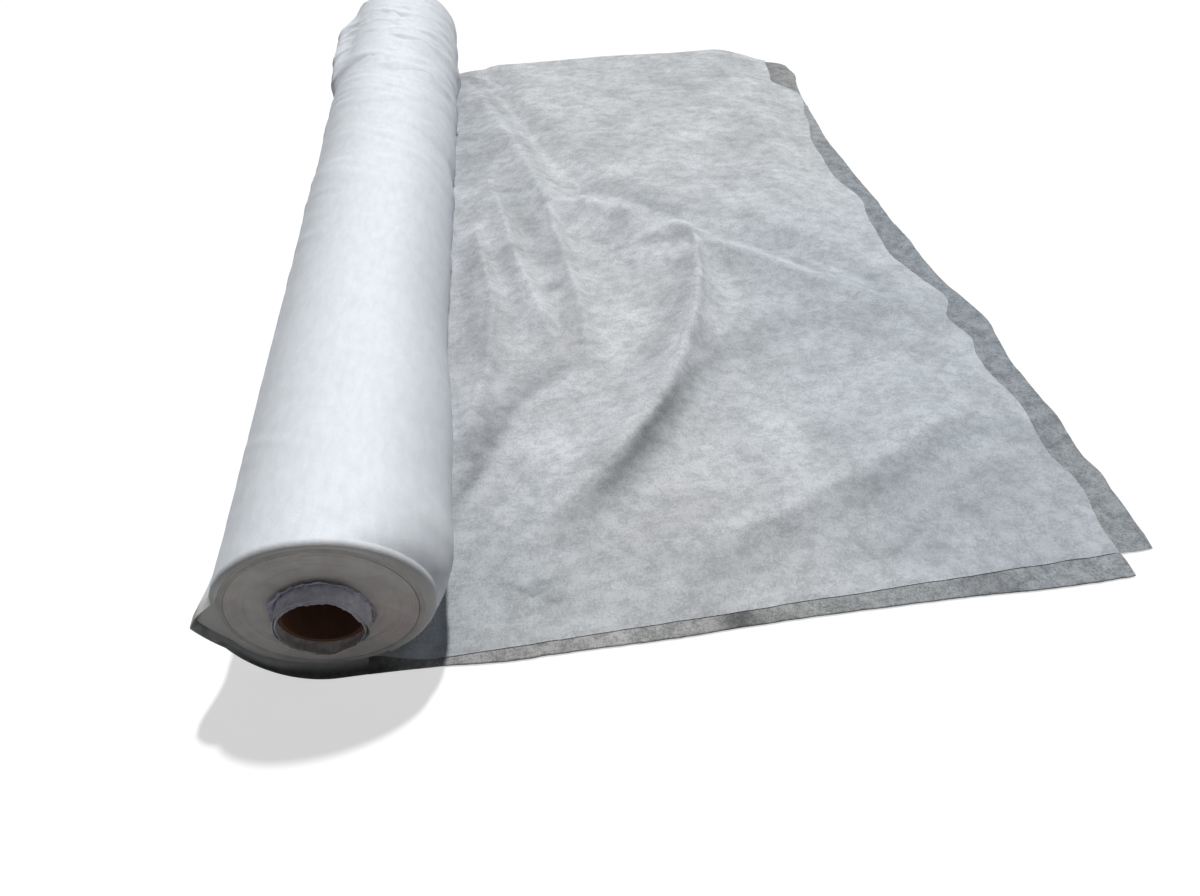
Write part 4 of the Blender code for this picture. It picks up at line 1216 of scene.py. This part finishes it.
def web_tints(x, y):
    """Colour of the top ply: dark and cool in the troughs, partly as painted shade; painted shade by the
    roll; painted highlights on the crests; bluish to the right.
    """
    bend_x, bend_y = (
        place
        + TONE_WAVER * layered_noise(x, y, size=0.018, seed=seed, layers=3)
        + TONE_WAVER * soft_noise(x, y, size=0.06, seed=seed + 1)
        for place, seed in ((x, 121), (y, 123))
    )
    mottle = layered_noise(x, y, size=0.014, seed=129, layers=3)
    shade = np.zeros(x.shape)
    # Troughs: painted shade and painted shadows, partly where the ground shows through
    for line, left, right in TROUGHS:
        gap, darkness = distance_to_line(bend_x, bend_y, rounded_line(line))
        shade = np.maximum(shade, darkness * fade(gap, np.where(gap > 0, left, right)))
    tone = 1.0 - shade * (1.0 + TROUGH_MOTTLE * mottle)
    for line, half_width in LIGHTS:
        gap, lightness = distance_to_line(bend_x, bend_y, rounded_line(line))
        tone += lightness * fade(gap, half_width)
    beads = np.clip(BEADS[0] + BEADS[1] * soft_noise(x, y, size=0.007, seed=126), 0.0, 1.0)
    half_x = bend_x * 0.5 + x * 0.5
    half_y = bend_y * 0.5 + y * 0.5
    # Painted highlights along the ridges' crests, broken into beads
    for line, _, _, crest, lighter in RIDGES:
        gap, lift = distance_to_line(half_x, half_y, rounded_line(line))
        strength = np.clip(lift / CREST_LIFT, 0.0, 1.0)
        tone += lighter * strength * beads * fade(gap, CREST_WIDTH + 0.6 * crest)
    # Painted shade by the roll and at its foot
    by_roll = ease((BY_ROLL_END - x - BY_ROLL_LEAN * y) / BY_ROLL_LENGTH)
    tone *= PLAIN_TONE - BY_ROLL_LOSS * by_roll - FOOT_LOSS * ramp(x, *FOOT_ENDS)
    # Darker over parts of the ply, and painted light in the roll's shadow at its foot
    for lighter, along_x, along_y in PART_SHADES:
        tone *= 1.0 + lighter * ramp(x, *along_x) * ramp(y, *along_y)
    tone *= 1.0 + (CLOUDS + CLOUDS_BY_ROLL * by_roll) * layered_noise(x, y, size=0.075, seed=125)
    streaks = layered_noise(x / 3.0, y + 0.25 * x, size=0.030, seed=137, layers=3)
    tone *= 1.0 + STREAKS * ramp(y, *STREAKS_START) * streaks
    tone *= 1.0 + CREASES * layered_noise(x, y, size=0.050, seed=139, layers=3)
    warm = ease(0.5 + layered_noise(x, y, size=0.16, seed=127, layers=2)) * ramp(x, *WARM_ENDS)
    blue = ramp(x, *BLUE_PART[0]) * ramp(y, *BLUE_PART[1])
    # Cool tint where shade is painted
    cool = np.clip(shade / COOL_SHADE, 0.0, 1.0)
    channels = [
        tone * (1.0 + bluish * blue + warmish * warm + coolish * cool)
        for bluish, warmish, coolish in zip(BLUE_TINT, WARM_TINT, COOL_TINT, strict=True)
    ]
    return np.stack(channels, axis=-1)


def top_ply(material):
    """The top ply of the laid web, rolled over the far edge down to the ground."""
    x, y = leaf_places(*TOP_GRID, TOP_CUT, seed=131)
    room = SECOND_ROOM * ease((y - near_edge_of_leaf(x)) / SECOND_ROOM_FROM_EDGE)
    bottom = PAIR_TOP + LEAF_GAP + room - TOP_SINK * ramp(x, *CUT_SINKS)
    points = np.stack([x, y, bottom + web_height(x, y) + PLY], axis=-1)
    tints = web_tints(x, y)
    turn = (np.arange(1, CURL_ROWS + 1) / CURL_ROWS * math.pi / 2)[:, None]
    over = np.stack(
        [
            np.repeat(x[-1:], CURL_ROWS, axis=0),
            y[-1:] + CURL_DEPTH * np.sin(turn),
            np.maximum(points[-1:, :, 2] * np.cos(turn), PLY),
        ],
        axis=-1,
    )
    points = np.concatenate([points, over])
    tints = np.concatenate([tints, np.repeat(tints[-1:], CURL_ROWS, axis=0) * CURL_TONE])
    return thin_sheet("laid_top_ply", points[::-1], PLY, material, tints[::-1])


def second_ply(material):
    """The ply under it, which shows past its cut end."""
    x, y = leaf_places(*SECOND_GRID, SECOND_CUT, seed=151)
    by_edge = ease(1.0 - (y - near_edge_of_leaf(x)) / DRAWN_IN_WIDTH)
    y = y + SECOND_DRAWN_IN * by_edge * ramp(x, *DRAWN_IN_ENDS)
    sink = SECOND_SINK * ramp(x, *CUT_SINKS)
    bottom = np.maximum(PAIR_TOP + LEAF_GAP + web_height(x, y) - sink, PLY)
    points = np.stack([x, y, bottom + PLY], axis=-1)
    return thin_sheet("laid_second_ply", points[::-1], PLY, material, margin_tints(x, y)[::-1])


def margin_tints(x, y):
    """Colour of the plies in the margins: neutral by the roll and bluish towards the cut end."""
    blue = ramp(x, *MARGIN_BLUE_PART[0]) * ramp(y, *MARGIN_BLUE_PART[1])
    clouds = 1.0 + MARGIN_CLOUDS * layered_noise(x, y, size=0.050, seed=173, layers=3)
    clouds = clouds + patches(y, MARGIN_LIGHT)
    tilt = MARGIN_WARMTH * ramp(y, *MARGIN_WARMS) - MARGIN_BLUE * blue
    return np.stack([clouds * (1.0 + tilt), clouds, clouds * (1.0 - tilt)], axis=-1)


def lower_plies(material):
    """The two lowest plies, joined by the fold along the near edge, which stands out of it."""
    bend = (PAIR_TOP - PLY) / 2
    run = crowded(LOWER_COLUMNS, COLUMN_CROWDING)
    shares = np.linspace(1.0, 0.0, LOWER_ROWS) ** LOWER_CROWDING
    rows = [(share, 0.0) for share in shares]
    rows += [(0.0, turn) for turn in np.linspace(0.0, math.pi, LOWER_BEND_ROWS + 2)[1:-1]]
    rows += [(share, math.pi) for share in shares[::-1]]
    points = np.zeros((len(rows), LOWER_COLUMNS, 3))
    tints = np.ones(points.shape)
    for number, (share, turn) in enumerate(rows):
        corner = LOWER_CORNER * (1.0 - share) ** LOWER_CORNER_SHARPNESS
        across = np.array([share * WEB_WIDTH])
        ragged = LOWER_RAG * layered_noise(across, 0.0 * across, LOWER_RAG_SIZE, seed=163, layers=3)
        x = LAID_START + (LAID_LENGTH - corner + ragged - LAID_START) * run
        waver = LOWER_WAVER * layered_noise(x, 0.0 * x, LOWER_WAVER_SIZE, seed=169, layers=3)
        edge = curve_through(x, STRIP_EDGE) + bend + waver * ease(x / 0.2)
        y = edge + (far_edge_of_leaf(x) - edge) * share
        points[number, :, 0] = x
        points[number, :, 1] = y - bend * math.sin(turn)
        points[number, :, 2] = PAIR_TOP / 2 + bend * math.cos(turn)
        tone = 1.0 - patches(x, STRIP_DARK) + patches(x, STRIP_LIGHT)
        mottle = layered_noise(x, points[number, :, 1], size=0.012, seed=171, layers=3)
        tone = NEAR_STRIP_TONE * foot_shade(x, y) * tone * (1.0 + STRIP_MOTTLE * mottle)
        tints[number] = tone[:, None] * margin_tints(x, y)
    return thin_sheet("laid_lower_plies", points, PLY, material, tints)


def patches(along, table):
    """The sum of patches along x or y, each with its strength, place and width."""
    return sum(strength * fade(along - place, width) for strength, place, width in table)


def foot_shade(x, y):
    """The shade at the roll's foot, deepest on the lip of the fold."""
    lip = ramp(y, *LIP_STARTS)
    shade = 1.0 - (FOOT_SHADE + FOOT_LIP_SHADE * lip) * ramp(x, *FOOT_SHADE_ENDS)
    return shade * (1.0 - DEEP_SHADE * ramp(x, *DEEP_SHADE_ENDS))


# The stage: camera, light and floor

CAMERA_PLACE = (0.2183, -1.2548, 0.7455)
CAMERA_PITCH = math.radians(45.33)
CAMERA_HEADING = math.radians(6.69)
CAMERA_TILT = math.radians(-1.60)
FOCAL_PIXELS = 787.1
PHOTO_WIDTH = 1200
SENSOR = 36.0


def make_camera():
    """The camera of the photograph."""
    ahead = Vector(
        (
            math.sin(CAMERA_HEADING) * math.cos(CAMERA_PITCH),
            math.cos(CAMERA_HEADING) * math.cos(CAMERA_PITCH),
            -math.sin(CAMERA_PITCH),
        )
    )
    level = Vector((math.cos(CAMERA_HEADING), -math.sin(CAMERA_HEADING), 0.0))
    above = level.cross(ahead)
    right = math.cos(CAMERA_TILT) * level + math.sin(CAMERA_TILT) * above
    up = math.cos(CAMERA_TILT) * above - math.sin(CAMERA_TILT) * level
    data = bpy.data.cameras.new("photo_camera")
    data.sensor_width = SENSOR
    data.lens = FOCAL_PIXELS / PHOTO_WIDTH * SENSOR
    data.clip_start = 0.01
    data.clip_end = 50.0
    camera = add_object("photo_camera", data)
    turn = Matrix((right, up, -ahead)).transposed().to_4x4()
    camera.matrix_world = Matrix.Translation(CAMERA_PLACE) @ turn
    bpy.context.scene.camera = camera


SKY_LEVEL = 0.05
SKY_COLOUR = (0.95, 0.98, 1.05, 1.0)
KEY_LEVEL = 0.88
KEY_FROM = Vector((0.21, 0.50, 1.0))
KEY_WIDTH = math.radians(3)
KEY_COLOUR = (1.0, 0.99, 0.97)
FILL_LEVEL = 0.026
FILL_FROM = Vector((0.10, -1.0, 0.35))
FILL_WIDTH = math.radians(60)
FILL_COLOUR = (0.97, 0.98, 1.0)


def make_lamp(name, level, place, width, colour):
    """A far lamp that gives the ground this share of full light."""
    sun = bpy.data.lights.new(name, "SUN")
    sun.energy = level * math.pi / place.normalized().z
    sun.angle = width
    sun.color = colour
    lamp = add_object(name, sun)
    lamp.rotation_mode = "QUATERNION"
    lamp.rotation_quaternion = place.to_track_quat("Z", "Y")


def empty_tree(owner):
    """The node tree of a material or a world, with nothing in it yet."""
    owner.use_nodes = True
    owner.node_tree.nodes.clear()
    return owner.node_tree


def show_camera(tree, seen, unseen, output_kind):
    """Shows one shader to the camera, while light meets another."""
    rays = tree.nodes.new("ShaderNodeLightPath")
    mixed = tree.nodes.new("ShaderNodeMixShader")
    output = tree.nodes.new(output_kind)
    tree.links.new(rays.outputs["Is Camera Ray"], mixed.inputs[0])
    tree.links.new(unseen.outputs[0], mixed.inputs[1])
    tree.links.new(seen.outputs[0], mixed.inputs[2])
    tree.links.new(mixed.outputs[0], output.inputs["Surface"])


def make_light():
    """An even sky, a key from above and behind, and a weak, wide fill from the front."""
    world = bpy.data.worlds.new("sky")
    bpy.context.scene.world = world
    tree = empty_tree(world)
    sky = tree.nodes.new("ShaderNodeBackground")
    set_inputs(sky, Color=SKY_COLOUR, Strength=SKY_LEVEL)
    white = tree.nodes.new("ShaderNodeBackground")
    set_inputs(white, Strength=1.0)
    show_camera(tree, white, sky, "ShaderNodeOutputWorld")
    make_lamp("key", KEY_LEVEL, KEY_FROM, KEY_WIDTH, KEY_COLOUR)
    make_lamp("fill", FILL_LEVEL, FILL_FROM, FILL_WIDTH, FILL_COLOUR)


FLOOR_HALF = 8.0
FLOOR_DROP = 0.0004
FLOOR_BOUNCE = 0.40
FLOOR_WHITE_SHARE = 0.55
FLOOR_WHITE = 1.1


def make_floor():
    """A plain pale floor that keeps the object's shadow, and bounces less light up than it shows."""
    mesh = bpy.data.meshes.new("floor")
    corners = [(-1, -1), (1, -1), (1, 1), (-1, 1)]
    places = [(x * FLOOR_HALF, y * FLOOR_HALF, -FLOOR_DROP) for x, y in corners]
    mesh.from_pydata(places, [], [(0, 1, 2, 3)])
    material = bpy.data.materials.new("floor")
    tree = empty_tree(material)
    dull = tree.nodes.new("ShaderNodeBsdfDiffuse")
    set_inputs(dull, Color=(FLOOR_BOUNCE, FLOOR_BOUNCE, FLOOR_BOUNCE, 1.0))
    lit = tree.nodes.new("ShaderNodeBsdfDiffuse")
    set_inputs(lit, Color=(1.0, 1.0, 1.0, 1.0))
    white = tree.nodes.new("ShaderNodeEmission")
    set_inputs(white, Strength=FLOOR_WHITE)
    seen = tree.nodes.new("ShaderNodeMixShader")
    seen.inputs[0].default_value = FLOOR_WHITE_SHARE
    tree.links.new(lit.outputs[0], seen.inputs[1])
    tree.links.new(white.outputs[0], seen.inputs[2])
    show_camera(tree, seen, dull, "ShaderNodeOutputMaterial")
    mesh.materials.append(material)
    floor = add_object("floor", mesh)


# The object


def main():
    """Builds the pieces, gives the roll's their body and stands each for its frame nodes."""
    fleeces = {name: fleece(name, *looks) for name, looks in FLEECES.items()}
    roll_fleece = fleeces["roll_fleece"]
    end_material = end_fleece("end_fleece")
    pieces = [
        (loose_outer_plies(roll_fleece), "loose_turn", "loose_turn_outer", "fleece_loose_turn"),
        *(
            (loose_inner_ply(*ply, roll_fleece), "loose_turn", "loose_turn_inner", "fleece_loose_turn")
            for ply in INNER_PLIES
        ),
        (wound_turns(end_material), "roll", "wound_body", "fleece_wound"),
        (outer_spiral(end_material), "roll", "outer_turns", "fleece_wound"),
    ]
    for name, profile, crumples, tone in COLLAR_LAYERS:
        layer = collar_layer(name, profile, *crumples, fleeces["collar_fleece"], tone)
        pieces.append((layer, "roll", "collar_turns", "fleece_collar"))
    for piece, body, node, slot in pieces:
        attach(piece, body)
        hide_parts(node)
    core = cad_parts["core_tube"]
    core.data.materials.clear()
    core.data.materials.append(cardboard("cardboard"))

    top = top_ply(fleeces["laid_fleece"])
    second = second_ply(fleeces["margin_fleece"])
    lower = lower_plies(fleeces["margin_fleece"])
    for piece, node, slot in (
        (top, "top_leaf", "fleece_laid"),
        (second, "second_leaf", "fleece_single"),
        (lower, "lower_pair", "fleece_single"),
    ):
        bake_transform(piece)
        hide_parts(node)


make_camera()
make_light()
make_floor()
main()
bpy.context.scene.view_settings.view_transform = "Standard"
